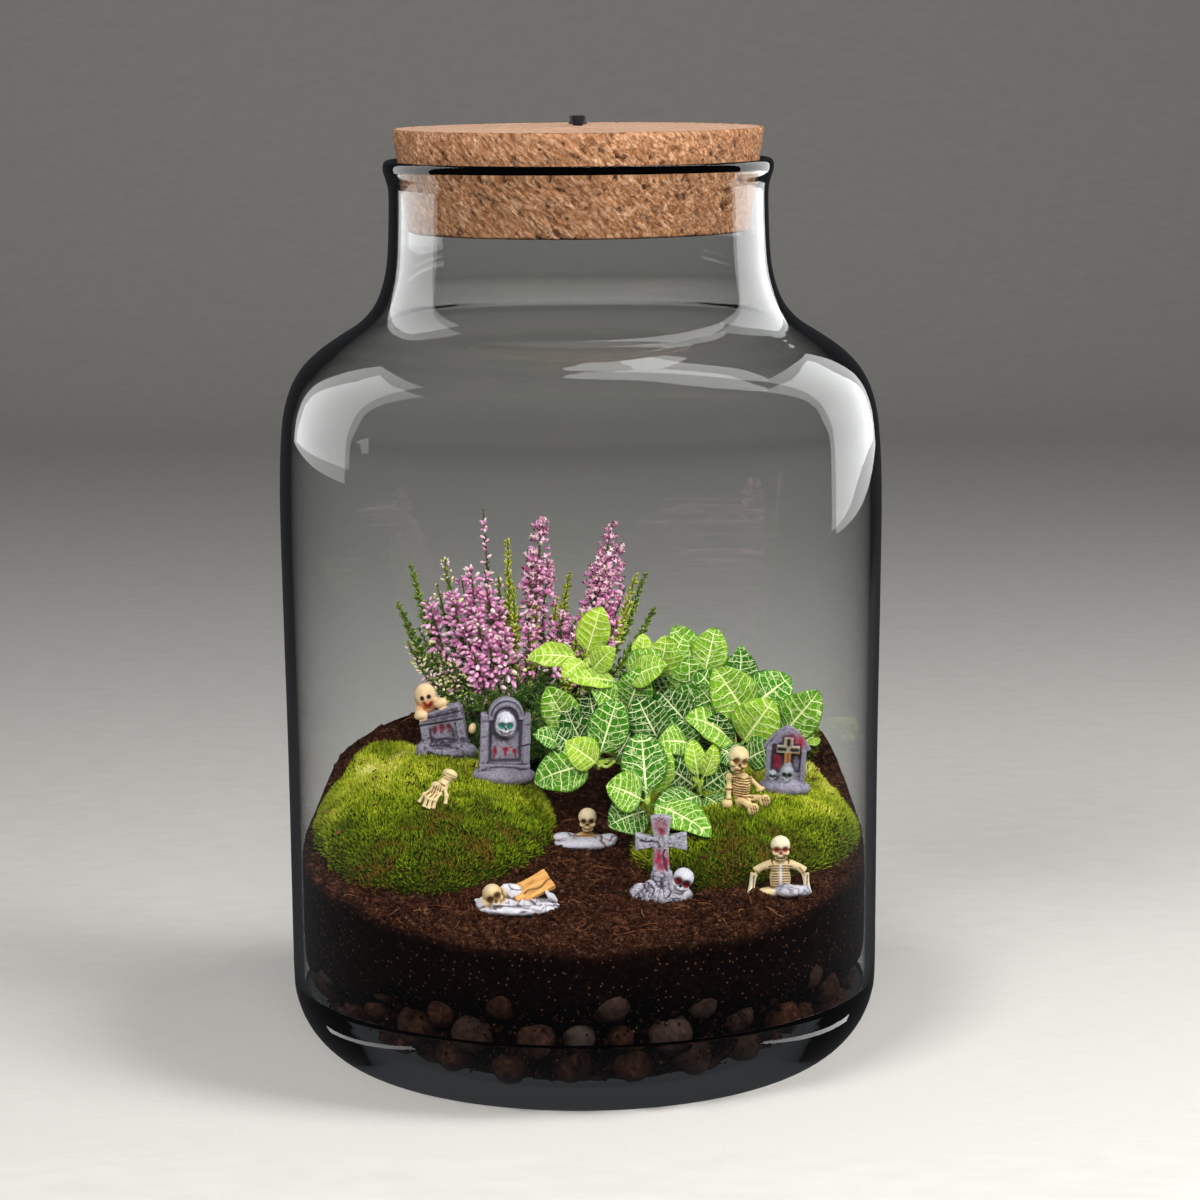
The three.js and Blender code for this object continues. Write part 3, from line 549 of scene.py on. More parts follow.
def moss_reach(cushion, x, y):
    """0 in a cushion's middle and 1 at its ragged edge. The right one is cut short in front."""
    cx, cy, rx, ry = cushion[:4]
    u, v = (x - cx) / rx, (y - cy) / ry
    angle = np.arctan2(v, u)
    rim = np.stack([30 * np.cos(angle), 30 * np.sin(angle), 0 * angle + cx], -1)
    bite = 0.22 * np.exp(-(((angle + 1.08) / 0.5) ** 2)) - 0.12 * np.exp(-(((angle + 2.6) / 0.3) ** 2))
    return np.hypot(u, v) * (1 + 0.05 * rough(rim, 9, 62) + bite * (cx > 0) * (rx > 20))


def moss_height(cushion, x, y):
    """The soil plus rise * (1 - reach^2.4)^0.55, where reach is 1 at the cushion's edge."""
    return soil_height(x, y) + cushion[-1] * np.clip(1 - moss_reach(cushion, x, y) ** 2.4, 0, 1) ** 0.55


def ground_height(x, y):
    """The highest of the soil and the moss cushions."""
    return np.max([soil_height(x, y)] + [moss_height(c, x, y) for c in MOSS.values()], 0)


def inside_radius(z, margin):
    """Radius of the jar's inside: 61 + (27 - m) sqrt(1 - d^2) in the corner below 32 mm."""
    d = np.clip((31.7 - z) / (27.5 - margin), 0, 1)
    return 61 + (27 - margin) * np.sqrt(1 - d**2)


print("soil is", soil_height(0, -88).round(1), "mm high in front and", soil_height(0, 88).round(1), "behind")

# %% [markdown]
# ## The soil
#
# Potting soil is peat with fine bark: crumbs of 0.5 to 3 mm and reddish fibres. It is loose on
# top, and pressed flat and dark with water against the glass. Low down it stands back, so that
# the clay pebbles show. The body is one surface from the jar's floor up the side and over the top.

# %% Soil: the body
SIDES = 480
SINKING = 0.8  # mm that the soil has sunk along the glass
angle = np.linspace(0, 2 * np.pi, SIDES, endpoint=False)
around = np.stack([np.cos(angle), np.sin(angle)], -1)
wall_radius = inside_radius(32, GAP + 0.1)
edge_height = soil_height(*(wall_radius * around.T)) - 0.8

up = np.linspace(0, 1, 52)[:, None] ** 0.9
z = 4.8 + up * (edge_height - 4.8)
spot = np.stack([80 * around[:, 0] + 0 * z, 80 * around[:, 1] + 0 * z, z], -1)
stands_back = 7.0 / (1 + np.exp((z - 33 - 7 * rough(spot, 16, 40)) / 2.2)) * np.clip((z - 4.5) / 4, 0.1, 1)
pressed = 0.35 * (rough(spot, 2.2, 41) + 0.6)
r = inside_radius(z, GAP) - stands_back * (1 + 0.5 * rough(spot, 5, 42)) - pressed
r = np.minimum(r, inside_radius(z, GAP) - 0.05)
side_rings = np.stack([r * around[:, 0], r * around[:, 1], z], -1)

r = np.linspace(wall_radius - 0.3, 1, 116)[:, None]
x, y = r * around[:, 0], r * around[:, 1]
lumps = soil_lumps(x, y) - 0.2
top = soil_height(x, y) - SINKING * settled(x, y) + lumps * np.clip((90 - r) / 4, 0.3, 1)
top_rings = np.stack([x, y, top], -1)

r = np.linspace(2, 57, 8)[:, None]
floor_rings = np.stack([r * around[:, 0], r * around[:, 1], 0 * r * around[:, 0] + 4.6], -1)

rings = np.concatenate([floor_rings, side_rings, top_rings])
pressed_rows = len(floor_rings) + len(side_rings)  # against the glass, and so wet
wet = np.concatenate([np.ones(pressed_rows), np.linspace(0.6, 0, 6), np.zeros(len(top_rings) - 6)])
wet[pressed_rows - 4 : pressed_rows] = np.linspace(1, 0.7, 4)
wet = wet[:, None] + 0 * angle
# this relief drives painted shade in the hollows and where the soil stands back, and painted light on clod
# tops
height = np.concatenate([0 * floor_rings[..., 0], -pressed - 0.3 * stands_back, lumps])
soil_shape = skin(np.concatenate([rings, wet[..., None], height[..., None]], -1))

# %% [markdown]
# Wet peat is nearly black-brown and fully matt. Its crumbs differ from red-brown to black, with a
# few pale specks of perlite dust and bark, drawn as dots in some cells of a 1.9 mm pattern. Painted
# shade darkens the hollows between crumbs and the soil that stands back from the glass, and painted
# light brightens the tops of the clods.

# %% Soil: the material
peat, tree, shader = new_finish("moist_peat", Roughness=0.95, IOR=1.2)
place = add(tree, "TexCoord")
crumb = add(tree, "TexVoronoi", {"Vector": place, "Scale": per(1.1), "Randomness": 1.0})
crumb_tone = add(tree, "SeparateColor", {"Color": crumb.outputs["Color"]})
fine = add(tree, "TexNoise", {"Vector": place, "Scale": per(0.8), "Detail": 6.0, "Roughness": 0.75})
broad = add(tree, "TexNoise", {"Vector": place, "Scale": per(9), "Detail": 3.0})
tone = add(tree, "ValToRGB", {"Fac": fine}, [
    (0.33, "#0b0503"), (0.46, "#27140d"), (0.56, "#54301f"), (0.68, "#8e5a40")])
speck = add(tree, "ValToRGB", {"Fac": crumb_tone.outputs["Red"]}, [
    (0.0, "#160b07"), (0.5, "#371f14"), (0.86, "#573423"), (0.97, "#7f5c42")])
mixed = add(tree, "Mix", {0: 0.45, 6: tone, 7: speck}, data_type="RGBA")
relief_value = add(tree, "Attribute", attribute_name="relief")
# painted shade where the relief is low and painted light where it is high
hollow = add(tree, "MapRange", {"Value": relief_value, "From Min": -1.2, "From Max": 0.8,
                                "To Min": 0.35, "To Max": 1.15})
patch = add(tree, "MapRange", {"Value": broad, "From Min": 0.3, "From Max": 0.7,
                               "To Min": 0.75, "To Max": 1.2})
lit = add(tree, "Math", {0: hollow, 1: patch}, operation="MULTIPLY")
wetness = add(tree, "Attribute", attribute_name="wet")
darker = add(tree, "MapRange", {"Value": wetness, "To Min": 1.0, "To Max": 0.09})
level = add(tree, "Math", {0: lit, 1: darker}, operation="MULTIPLY")
shaded = add(tree, "VectorMath", {0: mixed, "Scale": level}, operation="SCALE")
dust = add(tree, "TexVoronoi", {"Vector": place, "Scale": per(1.9), "Randomness": 1.0})
dot = add(tree, "MapRange", {"Value": dust, "From Min": 0.13, "From Max": 0.2, "To Min": 1.0, "To Max": 0.0})
dusted = add(tree, "Mix", {0: dot, 6: shaded, 7: "#5e3f2e"}, data_type="RGBA")
relief = add(tree, "Bump", {"Strength": 1.0, "Distance": 0.001, "Height": fine})
plug(tree, shader, {"Base Color": dusted, "Normal": relief})
piece("soil", soil_shape, peat, ["wet", "relief"], ["potting_soil"])

# %% [markdown]
# ## Crumbs and fibres
#
# Loose crumbs make the soil's outline uneven. Each is a lump of 20 triangles, stretched and
# turned at random. The fibres are thin rods bent in an arc, 0.2 to 0.4 mm thick. Scraps of bark,
# which fell on the moss, are the same lumps, pressed flat.

# %% Crumbs and fibres on the soil
dice = np.random.default_rng(7)


CRUMB_REACH = 86.5  # mm from the axis


def scattered(count):
    """Random points, even over a disc: the radius is R sqrt(u)."""
    r, a = CRUMB_REACH * np.sqrt(dice.random(count)), 2 * np.pi * dice.random(count)
    return r * np.cos(a), r * np.sin(a)


lump = skin(turned([(0.75, -0.5), (0.95, 0.35)], 5), [(0, 0, -0.8), (0.1, 0, 0.9)])
x, y = scattered(13000)
bare = ground_height(x, y) - soil_height(x, y) < 2
x, y = x[bare], y[bare]
size = np.clip(dice.lognormal(-0.7, 0.5, len(x)), 0.25, 2.2)
z = soil_height(x, y) - SINKING * settled(x, y) + soil_lumps(x, y) + 0.1 * size
places = np.stack([x, y, z], -1)
turns = facing(dice.normal(size=(len(x), 3)), 6.3 * dice.random(len(x)))
sizes = size[:, None] * dice.uniform(0.6, 1.25, (len(x), 3))
crumbs = copies(lump, places, turns, sizes, 0 * x, dice.normal(0.1, 0.6, len(x)))

count = 2600
a, z = 2 * np.pi * dice.random(count), dice.uniform(9, 43, count)
size = np.clip(dice.lognormal(-0.35, 0.4, count), 0.3, 1.8)
r = inside_radius(z, GAP + size) - dice.uniform(2.0, 6.0, count)
places = np.stack([r * np.cos(a), r * np.sin(a), z], -1)
turns = facing(dice.normal(size=(count, 3)), 6.3 * dice.random(count))
fines = copies(lump, places, turns, size[:, None] * dice.uniform(0.6, 1.2, (count, 3)),
               0.8 + 0 * a, dice.normal(-0.1, 0.4, count))
piece("soil_crumbs", combine(crumbs, fines), peat, ["wet", "relief"])

fibre_finish, tree, shader = new_finish("peat_fibre", Roughness=0.8)
tone = add(tree, "Attribute", attribute_name="tone")
streak = add(tree, "TexNoise", {"Scale": per(2), "Detail": 2.0})
mixed = add(tree, "Math", {0: tone, 1: streak}, operation="MULTIPLY")
colour = add(tree, "ValToRGB", {"Fac": mixed}, [
    (0.05, "#1c0e08"), (0.25, "#3c2115"), (0.42, "#6a3e26"), (0.6, "#a87a4c")])
plug(tree, shader, {"Base Color": colour})


def fibre(bend):
    """A rod of length 1 along X that sags by bend * 4 t (1 - t) and thins at both ends."""
    t = np.linspace(0, 1, 6)
    path = np.stack([t - 0.5, bend * 4 * t * (1 - t), 0.12 * np.sin(5 * t)], -1)
    return skin(tube(path, 0.024 * (0.45 + np.sin(np.pi * t)), 4))


strands = []
for bend in (0.02, 0.08, -0.14):
    x, y = scattered(230)
    bare = ground_height(x, y) - soil_height(x, y) < 1
    x, y = x[bare], y[bare]
    z = soil_height(x, y) + soil_lumps(x, y) + 0.5 - SINKING * settled(x, y)
    length = np.clip(dice.lognormal(1.65, 0.45, len(x)), 2, 13)
    length = np.minimum(length, 2 * (87.5 - np.hypot(x, y)))
    turn, nod = 6.3 * dice.random(len(x)), dice.normal(0.1, 0.28, len(x))
    aim = np.stack([np.sin(nod), 0 * x, np.cos(nod)], -1)
    turns = facing(aim, 0 * x)
    spun = np.stack([np.stack([np.cos(turn), -np.sin(turn), 0 * x], -1),
                     np.stack([np.sin(turn), np.cos(turn), 0 * x], -1),
                     np.stack([0 * x, 0 * x, 1 + 0 * x], -1)], 1)
    thick = np.stack([length, 3 + 0.15 * length, 3 + 0.15 * length], -1)
    strands.append(copies(fibre(bend), np.stack([x, y, z], -1), spun @ turns, thick,
                          dice.random(len(x)) ** 0.7))
x, y = scattered(620)
fallen = ground_height(x, y) - soil_height(x, y) > 3
x, y = x[fallen], y[fallen]
turns = facing(dice.normal(size=(len(x), 3)) * 0.45 + [0, 0, 1], 6.3 * dice.random(len(x)))
flakes = dice.lognormal(-0.45, 0.4, (len(x), 1)) * [1, 0.55, 0.16]
places = np.stack([x, y, ground_height(x, y) + 0.9], -1)
strands.append(copies(lump, places, turns, flakes, dice.uniform(0.55, 1.1, len(x))))
piece("soil_fibres", combine(*strands), fibre_finish, ["tone"])

# %% [markdown]
# ## The clay pebbles
#
# The drainage layer is expanded clay: baked, matt balls of 10 to 16 mm with dents and a dusty
# skin. Fourteen of them show clearly through the front and lean on the glass. The rest of the
# layer fills up round them: each new pebble is tried at random places against the wall, and is
# kept where it clears the pebbles that are there.

# %% Pebbles: places
FRONT_PEBBLES = [  # degrees from the front, height, size
    (-31, 16, 1.0), (-17, 16, 1.02), (-3, 16, 1.0), (11, 16, 1.03), (25, 16, 0.98), (39, 16, 1.0),
    (-38, 25.5, 0.95), (-24, 25.8, 1.0), (-10, 25.2, 0.96), (18, 25.6, 1.0), (46, 25.3, 0.94),
    (-17, 37, 0.98), (5, 37, 1.02), (52, 37.5, 1.0),
]
degrees, z, size = np.array(FRONT_PEBBLES).T
r = inside_radius(z, 7.1 * size + GAP)
spots = [np.array([x, y, h, s]) for x, y, h, s in zip(
    r * np.sin(np.radians(degrees)), -r * np.cos(np.radians(degrees)), z, 7.1 * size)]
for _ in range(7000):
    a, s = 2 * np.pi * dice.random(), 7.1 * dice.uniform(0.6, 1.0)
    h = 4.8 + s + 26 * dice.random() ** 1.9
    r = inside_radius(h, s + GAP) - 5 * dice.random() ** 1.3
    new = np.array([r * np.cos(a), r * np.sin(a), h, s])
    room = np.linalg.norm(np.array(spots)[:, :3] - new[:3], axis=1) - np.array(spots)[:, 3] - s
    if room.min() > -1.2:
        spots.append(new)
spots = np.array(spots)
print(len(spots), "pebbles stand against the glass")

# %% Pebbles: shape and material
a = np.linspace(0, np.pi, 15)[1:-1]
round_pebble = skin(turned(np.stack([np.sin(a), -np.cos(a)], -1), 20), [(0, 0, -1), (0, 0, 1)])


def pebble_shapes(spots, tones):
    """Balls whose radius is s (1 + 0.07 hills + 0.03 hills of half the size), one seed for each."""
    n = len(spots)
    turns = facing(dice.normal(size=(n, 3)), 6.3 * dice.random(n))
    stretch = spots[:, 3:] * dice.uniform([0.9, 0.88, 0.95], [1.0, 1.0, 1.06], (n, 3))
    points, faces = copies(round_pebble, spots[:, :3] * 0, turns, stretch, tones)
    noise_at = points[:, :3] + np.repeat(dice.uniform(0, 900, (n, 3)), len(round_pebble[0]), 0)
    bumps = (1 + 0.07 * hills(noise_at, 6, 1) + 0.035 * hills(noise_at, 2.6, 2)
             + 0.012 * hills(noise_at, 1.1, 3))
    points[:, :3] = points[:, :3] * 0.94 * bumps[:, None] + np.repeat(spots[:, :3], len(round_pebble[0]), 0)
    return points, faces


clay, tree, shader = new_finish("expanded_clay", Roughness=0.9, IOR=1.25)
place = add(tree, "TexCoord")
grit = add(tree, "TexNoise", {"Vector": place, "Scale": per(1.6), "Detail": 6.0, "Roughness": 0.7})
stain = add(tree, "TexNoise", {"Vector": place, "Scale": per(7), "Detail": 4.0, "Roughness": 0.6})
tone = add(tree, "Attribute", attribute_name="tone")
skin_tone = add(tree, "ValToRGB", {"Fac": grit}, [
    (0.3, "#130a07"), (0.5, "#28170f"), (0.65, "#40271d"), (0.8, "#604337")])
fired = add(tree, "Mix", {0: tone, 6: skin_tone, 7: "#3c3633"}, data_type="RGBA")
smear = add(tree, "MapRange", {"Value": stain, "From Min": 0.5, "From Max": 0.66, "To Max": 0.85})
dirty = add(tree, "Mix", {0: smear, 6: fired, 7: "#0f0705"}, data_type="RGBA")
relief = add(tree, "Bump", {"Strength": 0.6, "Distance": 0.0006, "Height": grit})
plug(tree, shader, {"Base Color": dirty, "Normal": relief})
tones = 0.6 * dice.random(len(spots)) ** 3
front = len(FRONT_PEBBLES)
nodes = [f"clay_pebble_{i + 1:02d}" for i in range(front)]
piece("front_clay_pebbles", pebble_shapes(spots[:front], tones[:front]), clay, ["tone"], nodes)
piece("other_clay_pebbles", pebble_shapes(spots[front:], tones[front:]), clay, ["tone"])

# %% [markdown]
# ## The moss
#
# Cushion moss is a dense pelt of upright shoots with pointed leaves. A dark body under it fills
# the gaps as painted shade, and thousands of spindles of 6 triangles stand on the body, each leaning
# a little off the surface's own direction. Tips are yellow-green or deeper green in patches of one to
# two centimetres. Painted shade darkens each shoot's foot, the cushion's front and the valleys
# between clumps, and painted light brightens the shoot tips, the clump tops and the back. Real
# shoots are 0.3 mm wide, and they are drawn at 0.5 mm.

# %% Moss: the materials
moss_finish, tree, shader = new_finish("cushion_moss", Roughness=0.75)
tint = add(tree, "Attribute", attribute_name="tint")
tip = add(tree, "Attribute", attribute_name="tip")
green = add(tree, "ValToRGB", {"Fac": tint},
            [(0.0, "#7a5a22"), (0.1, "#2f3a08"), (0.34, "#5a7010"), (0.6, "#93a01b"), (0.85, "#c8c546"),
             (1.0, "#dcd58c")])
# painted shade at each shoot's foot and on the body, painted light at the shoot tips
shade = add(tree, "MapRange", {"Value": tip, "To Min": 0.35, "To Max": 1.15})
lit = add(tree, "VectorMath", {0: green, "Scale": shade}, operation="SCALE")
plug(tree, shader, {"Base Color": lit})


# %% Moss: the shapes
def cushion_body(cushion):
    """The cushion's dome, 1.6 mm low, over a shallow underside: rings from the edge to the top."""
    cx, cy, rx, ry = cushion[:4]
    sides = 140
    a = np.linspace(0, 2 * np.pi, sides, endpoint=False)
    reach = np.concatenate([[0.6, 0.94, 0.99], 0.99 * np.cos(np.linspace(0.1, 1.56, 30))])[:, None]
    reach = reach / moss_reach(cushion, cx + rx * np.cos(a), cy + ry * np.sin(a))
    x, y = cx + rx * reach * np.cos(a), cy + ry * reach * np.sin(a)
    z = moss_height(cushion, x, y) - 1.6
    z[:3] = soil_height(x[:3], y[:3]) - np.array([2.0, 1.6, 0.6])[:, None]
    z[3:] += moss_bumps(x[3:], y[3:])
    # tint 0.15 and tip 0.1 make the body dark, as painted shade between the shoots
    return skin(np.stack([x, y, z, 0.15 + 0 * z, 0.1 + 0 * z], -1))


def moss_bumps(x, y):
    """Clumps 5 to 9 mm wide and about 1 mm high."""
    flat = np.stack([x, y, 0 * x + 30], -1)
    return 0.8 * rough(flat, 9, 60) + 0.7 * hills(flat, 3.6, 64)


def shoots(cushion, count, seed):
    """Spindles that stand on the dome: each leans from the dome's normal by random angles."""
    cx, cy, rx, ry = cushion[:4]
    reach, a = np.sqrt(dice.random(count)) ** 0.9, 2 * np.pi * dice.random(count)
    reach = reach / moss_reach(cushion, cx + rx * np.cos(a), cy + ry * np.sin(a))
    x, y = cx + rx * reach * np.cos(a), cy + ry * reach * np.sin(a)
    step = 0.5
    slope_x = (moss_height(cushion, x + step, y) - moss_height(cushion, x - step, y)) / (2 * step)
    slope_y = (moss_height(cushion, x, y + step) - moss_height(cushion, x, y - step)) / (2 * step)
    up = unit(np.stack([-slope_x, -slope_y, 1 + 0 * x], -1) + [0, 0, 0.35])
    bumps = moss_bumps(x, y)
    base = np.stack([x, y, moss_height(cushion, x, y) - 1.7 + bumps], -1)
    drift = np.stack([hills(base, 9, seed), hills(base, 9, seed + 1), 0 * x], -1)
    lean = unit(up + 0.35 * drift + 0.26 * dice.normal(size=(count, 3)))
    length = dice.uniform(1.9, 3.1, count) * (0.8 + 0.25 * rough(base, 8, seed + 2))
    width = dice.uniform(0.32, 0.55, count)
    patch = 0.5 + 0.33 * rough(base, 22, seed + 3, 2) + 0.16 * hills(base, 5, seed + 4)
    brown = hills(base, 6, seed + 5) > 0.82
    # painted shade on the cushion's front and its lower edge, painted light toward the back
    front_shade_back_light = 0.2 * np.clip((y - cy) / ry, -1, 0.8) - 0.16 * np.clip((cy - 0.45 * ry - y) / (0.3 * ry), 0, 1)
    # the bumps add painted light on the clump tops and painted shade in the valleys
    tint = np.clip(patch + front_shade_back_light + 0.13 * dice.normal(size=count) + 0.16 * bumps - 0.5 * brown, 0.02, 1)
    spindle = skin(np.array([[(-0.5, -0.29, 0.35, 0.3), (0.5, -0.29, 0.35, 0.3), (0, 0.58, 0.35, 0.3)]]),
                   [(0, 0, 0), (0, 0, 1)])
    spindle[0][-2:, 3] = [0, 1]
    points, faces = copies(spindle, base, facing(lean, 6.3 * dice.random(count)),
                           np.stack([width, width, length], -1), tint)
    return points[:, [0, 1, 2, 4, 3]], faces


for name, count in (("moss_cushion_left", 29000), ("moss_cushion_right", 25500), ("moss_patch_back", 1500)):
    pelt = shoots(MOSS[name], count, len(name) * 3)
    grown = combine(cushion_body(MOSS[name]), pelt)
    piece(name.replace("cushion", "pelt") + "_grown", grown, moss_finish, ["tint", "tip"], [name])

# %% [markdown]
# ## The heather
#
# Heather has thin woody stems. Tiny overlapping leaves, 1 to 2 mm long, cover the green spikes.
# The pink ones carry drooping urn-shaped buds, 2 to 3 mm long, and at their tops the open flowers
# are small stars. So three small shapes are made once and then copied along the stems, a third
# of a turn or a golden angle apart. `tip` runs from 0 at a shape's foot to 1 at its end.

# %% Heather: leaflet, bud and open flower
def along(path, s):
    """The points at the fractions s of a path's length, and the directions there."""
    steps = np.linalg.norm(np.diff(path, axis=0), axis=1)
    length = np.concatenate([[0], np.cumsum(steps)]) / steps.sum()
    both = np.concatenate([path, unit(np.gradient(path, axis=0))], 1)
    at = np.stack([np.interp(s, length, column) for column in both.T], -1)
    return at[:, :3], unit(at[:, 3:])


def with_tips(profile, sides, star=0.0):
    """A small turned shape of length 1, with its height as `tip`. A star has every second point
    of its last ring pulled out."""
    rings = turned(profile, sides)
    rings[-1, ::2, :2] *= 1 + star
    rings = np.concatenate([rings, rings[..., 2:]], -1)
    points, faces = skin(rings, [(0, 0, 0), (0, 0, 1 - 0.35 * star)])
    points[-2:, 3] = [0, 1]
    return points, faces


leaflet = with_tips([(0.19, 0.2), (0.2, 0.62)], 4)
needle = with_tips([(0.07, 0.3)], 3)
bud = with_tips([(0.15, 0.06), (0.27, 0.35), (0.24, 0.7), (0.11, 0.93)], 6)
star_flower = with_tips([(0.12, 0.05), (0.22, 0.4), (0.19, 0.7), (0.22, 1.0)], 8, 1.5)


def dressed(path, s, shape, lean, size, off, paint):
    """Copies of a shape up a stem, a golden angle apart: each points `lean` radians off the stem
    and stands `off` mm from it."""
    spot, ahead = along(path, s)
    outward = facing(ahead, 2.4 * np.arange(len(s)) + 0.5 * dice.normal(size=len(s)))[:, :, 0]
    aim = unit(outward * np.sin(lean)[:, None] + ahead * np.cos(lean)[:, None])
    aim = unit(aim + 0.13 * dice.normal(size=aim.shape))
    turns = facing(aim, 6.3 * dice.random(len(s)))
    return copies(shape, spot + outward * np.asarray(off)[:, None], turns, size, paint)


# %% [markdown]
# One material serves the whole plant. `paint` picks the colour from wood through greens and lime
# to pale and deep pink, and the foot and the tip of each leaf or bud are paler than its middle.

# %% Heather: the material
heather_finish, tree, shader = new_finish("heather_growth", Roughness=0.55)
paint = add(tree, "Attribute", attribute_name="paint")
tip = add(tree, "Attribute", attribute_name="tip")
colour = add(tree, "ValToRGB", {"Fac": paint}, [
    (0.0, "#5d4734"), (0.09, "#101f08"), (0.2, "#2c5617"), (0.32, "#647f2e"), (0.42, "#a3ad24"),
    (0.52, "#d9cf9c"), (0.64, "#efcadb"), (0.8, "#da8cbc"), (1.0, "#ab4c88")])
ends = add(tree, "Math", {0: tip, 1: 0.42}, operation="SUBTRACT")
ends = add(tree, "Math", {0: ends}, operation="ABSOLUTE")
pale = add(tree, "MapRange", {"Value": ends, "From Min": 0.25, "From Max": 0.6, "To Max": 0.4})
petal = add(tree, "Mix", {0: pale, 6: colour, 7: "#f4ecd2"}, data_type="RGBA")
plug(tree, shader, {"Base Color": petal})

# %% [markdown]
# Every stem starts low in the bush, spreads and ends at its own tip. The first eleven carry the
# plant's main spikes, and the rest are thinner ones between them.

# %% Heather: the spikes
HEATHER = {"x": -22, "y": 50, "rx": 27, "ry": 19, "top": 117, "spike_foot": 98}
SPIKES = [  # kind and tip; the first eleven are the CAD frame's spikes, in its order
    ("green", -60, 50, 135), ("green", -56, 56, 146), ("budding", -47, 47, 141), ("cream", -45, 57, 148),
    ("pink", -36, 46, 146), ("sparse", -32, 62, 162), ("lime", -24, 53, 154), ("open", -13, 52, 160),
    ("lime", -4, 58, 143), ("open", 10, 55, 158), ("green", 21, 54, 143), ("pink", -50, 45, 136),
    ("pink", -42, 43, 139), ("pink", -39, 50, 143), ("pink", -31, 44, 144), ("pink", -27, 44, 135),
    ("pink", -34, 41, 133), ("pink", -38, 40, 129), ("pink", -30, 40, 124), ("cream", -27, 50, 143),
    ("lime", -22, 47, 140), ("pink", -25, 42, 126), ("open", -17, 46, 127), ("open", -16, 51, 151),
    ("open", -11, 53, 147), ("lime", -15, 48, 134), ("pink", -35, 39, 120), ("open", 7, 54, 149),
    ("open", 12, 56, 152), ("pink", 9, 53, 138), ("pink", 14, 54, 138), ("open", -6, 48, 131),
    ("open", -2, 49, 129), ("lime", -8, 53, 135), ("lime", 1, 48, 131), ("lime", 18, 52, 143),
    ("lime", 16, 50, 134), ("lime", 5, 47, 126), ("green", 24, 54, 132), ("pink", 11, 49, 127),
    ("cream", -53, 46, 127), ("cream", -57, 48, 122), ("budding", -53, 43, 115), ("cream", -47, 42, 120),
    ("cream", -42, 40, 117), ("cream", -50, 40, 112),
]
KINDS = {  # leaf paint, bud paint, leaves and buds per mm, leaf and bud length, where buds start
    "green": (0.3, 0.52, 4.6, 0.0, 2.7, 1.3, 0.3), "lime": (0.4, 0.42, 4.2, 0.0, 2.7, 1.5, 0.3),
    "cream": (0.29, 0.53, 3.6, 1.3, 2.0, 1.9, 0.15), "budding": (0.26, 0.6, 3.2, 1.3, 2.0, 2.1, 0.2),
    "sparse": (0.18, 0.7, 1.8, 0.75, 1.8, 2.3, 0.35), "pink": (0.24, 0.8, 1.7, 2.4, 1.8, 3.0, 0.25),
    "open": (0.22, 0.8, 1.7, 2.5, 1.8, 2.9, 0.4),
}


def spike(kind, *tip):
    """A stem through foot, knee and tip, with leaves all the way and buds on its upper part."""
    leaf_paint, bud_paint, leaf_rate, bud_rate, leaf_length, bud_length, bud_start = KINDS[kind]
    middle = np.array([HEATHER["x"], HEATHER["y"]])
    reach = np.array(tip[:2]) - middle
    foot = [*(middle + [0.42, 0.3] * reach), HEATHER["spike_foot"]]
    knee = [*(middle + [0.78, 0.5] * reach), (HEATHER["spike_foot"] + tip[2]) / 2]
    path = smooth_path([foot, knee, tip], 14)
    path = path + 0.5 * rough(path, 9, 70)[:, None] * [[1, 1, 0]] * np.linspace(1, 0, len(path))[:, None]
    length = np.linalg.norm(np.diff(path, axis=0), axis=1).sum()
    rod = skin(tube(path, np.linspace(0.55, 0.2, len(path)), 5))
    rod = np.column_stack([rod[0], 0.42 + 0 * rod[0][:, 0], 0.02 + 0 * rod[0][:, 0]]), rod[1]
    s = np.linspace(0.12, 1, int(leaf_rate * length))
    swell = (1 + 0.22 * np.sin(2 * np.pi * s * length / 3.4)) * np.clip(1.25 * (1 - s) + 0.45, 0, 1)
    parts = [rod, dressed(path, s, leaflet, 0.75 + 0.25 * dice.normal(size=len(s)), leaf_length * swell,
                          0.3 * swell, leaf_paint + 0.035 * dice.normal(size=len(s)))]
    count = int(bud_rate * length * (1 - bud_start))
    if count:
        s = np.sort(bud_start + (1 - bud_start) * dice.random(count) ** 0.8)
        rank = (s - bud_start) / (1 - bud_start)
        full = np.sin(np.pi * np.clip(0.18 + 0.8 * rank, 0, 1)) ** 0.6
        lean = 2.1 - 1.35 * rank + 0.3 * dice.normal(size=count)
        size = bud_length * (0.55 + 0.45 * full) * dice.uniform(0.8, 1.1, count)
        off = (0.5 + 2.2 * dice.random(count) * full) * (bud_rate > 1)
        paint = np.clip(bud_paint + 0.09 * dice.normal(size=count), 0.45, 1)
        opened = (kind == "open") & (dice.random(count) < 0.25 + 0.6 * rank)
        for shape, chosen in ((bud, ~opened), (star_flower, opened)):
            if chosen.any():
                parts.append(dressed(path, s[chosen], shape, lean[chosen], size[chosen], off[chosen],
                                     paint[chosen]))
    return combine(*parts)


spikes = [spike(*row) for row in SPIKES]
pink = [i for i, row in enumerate(SPIKES) if row[0] in ("pink", "open")]
green = [i for i in range(len(SPIKES)) if i not in pink]
for name, chosen, slot in (("pink_heather", pink, "heather_flower"),
                           ("green_heather", green, "heather_foliage")):
    nodes = [f"heather_spike_{i + 1:02d}" for i in chosen if i < 11]
    piece(name, combine(*(spikes[i] for i in chosen)), heather_finish, ["tip", "paint"], nodes)
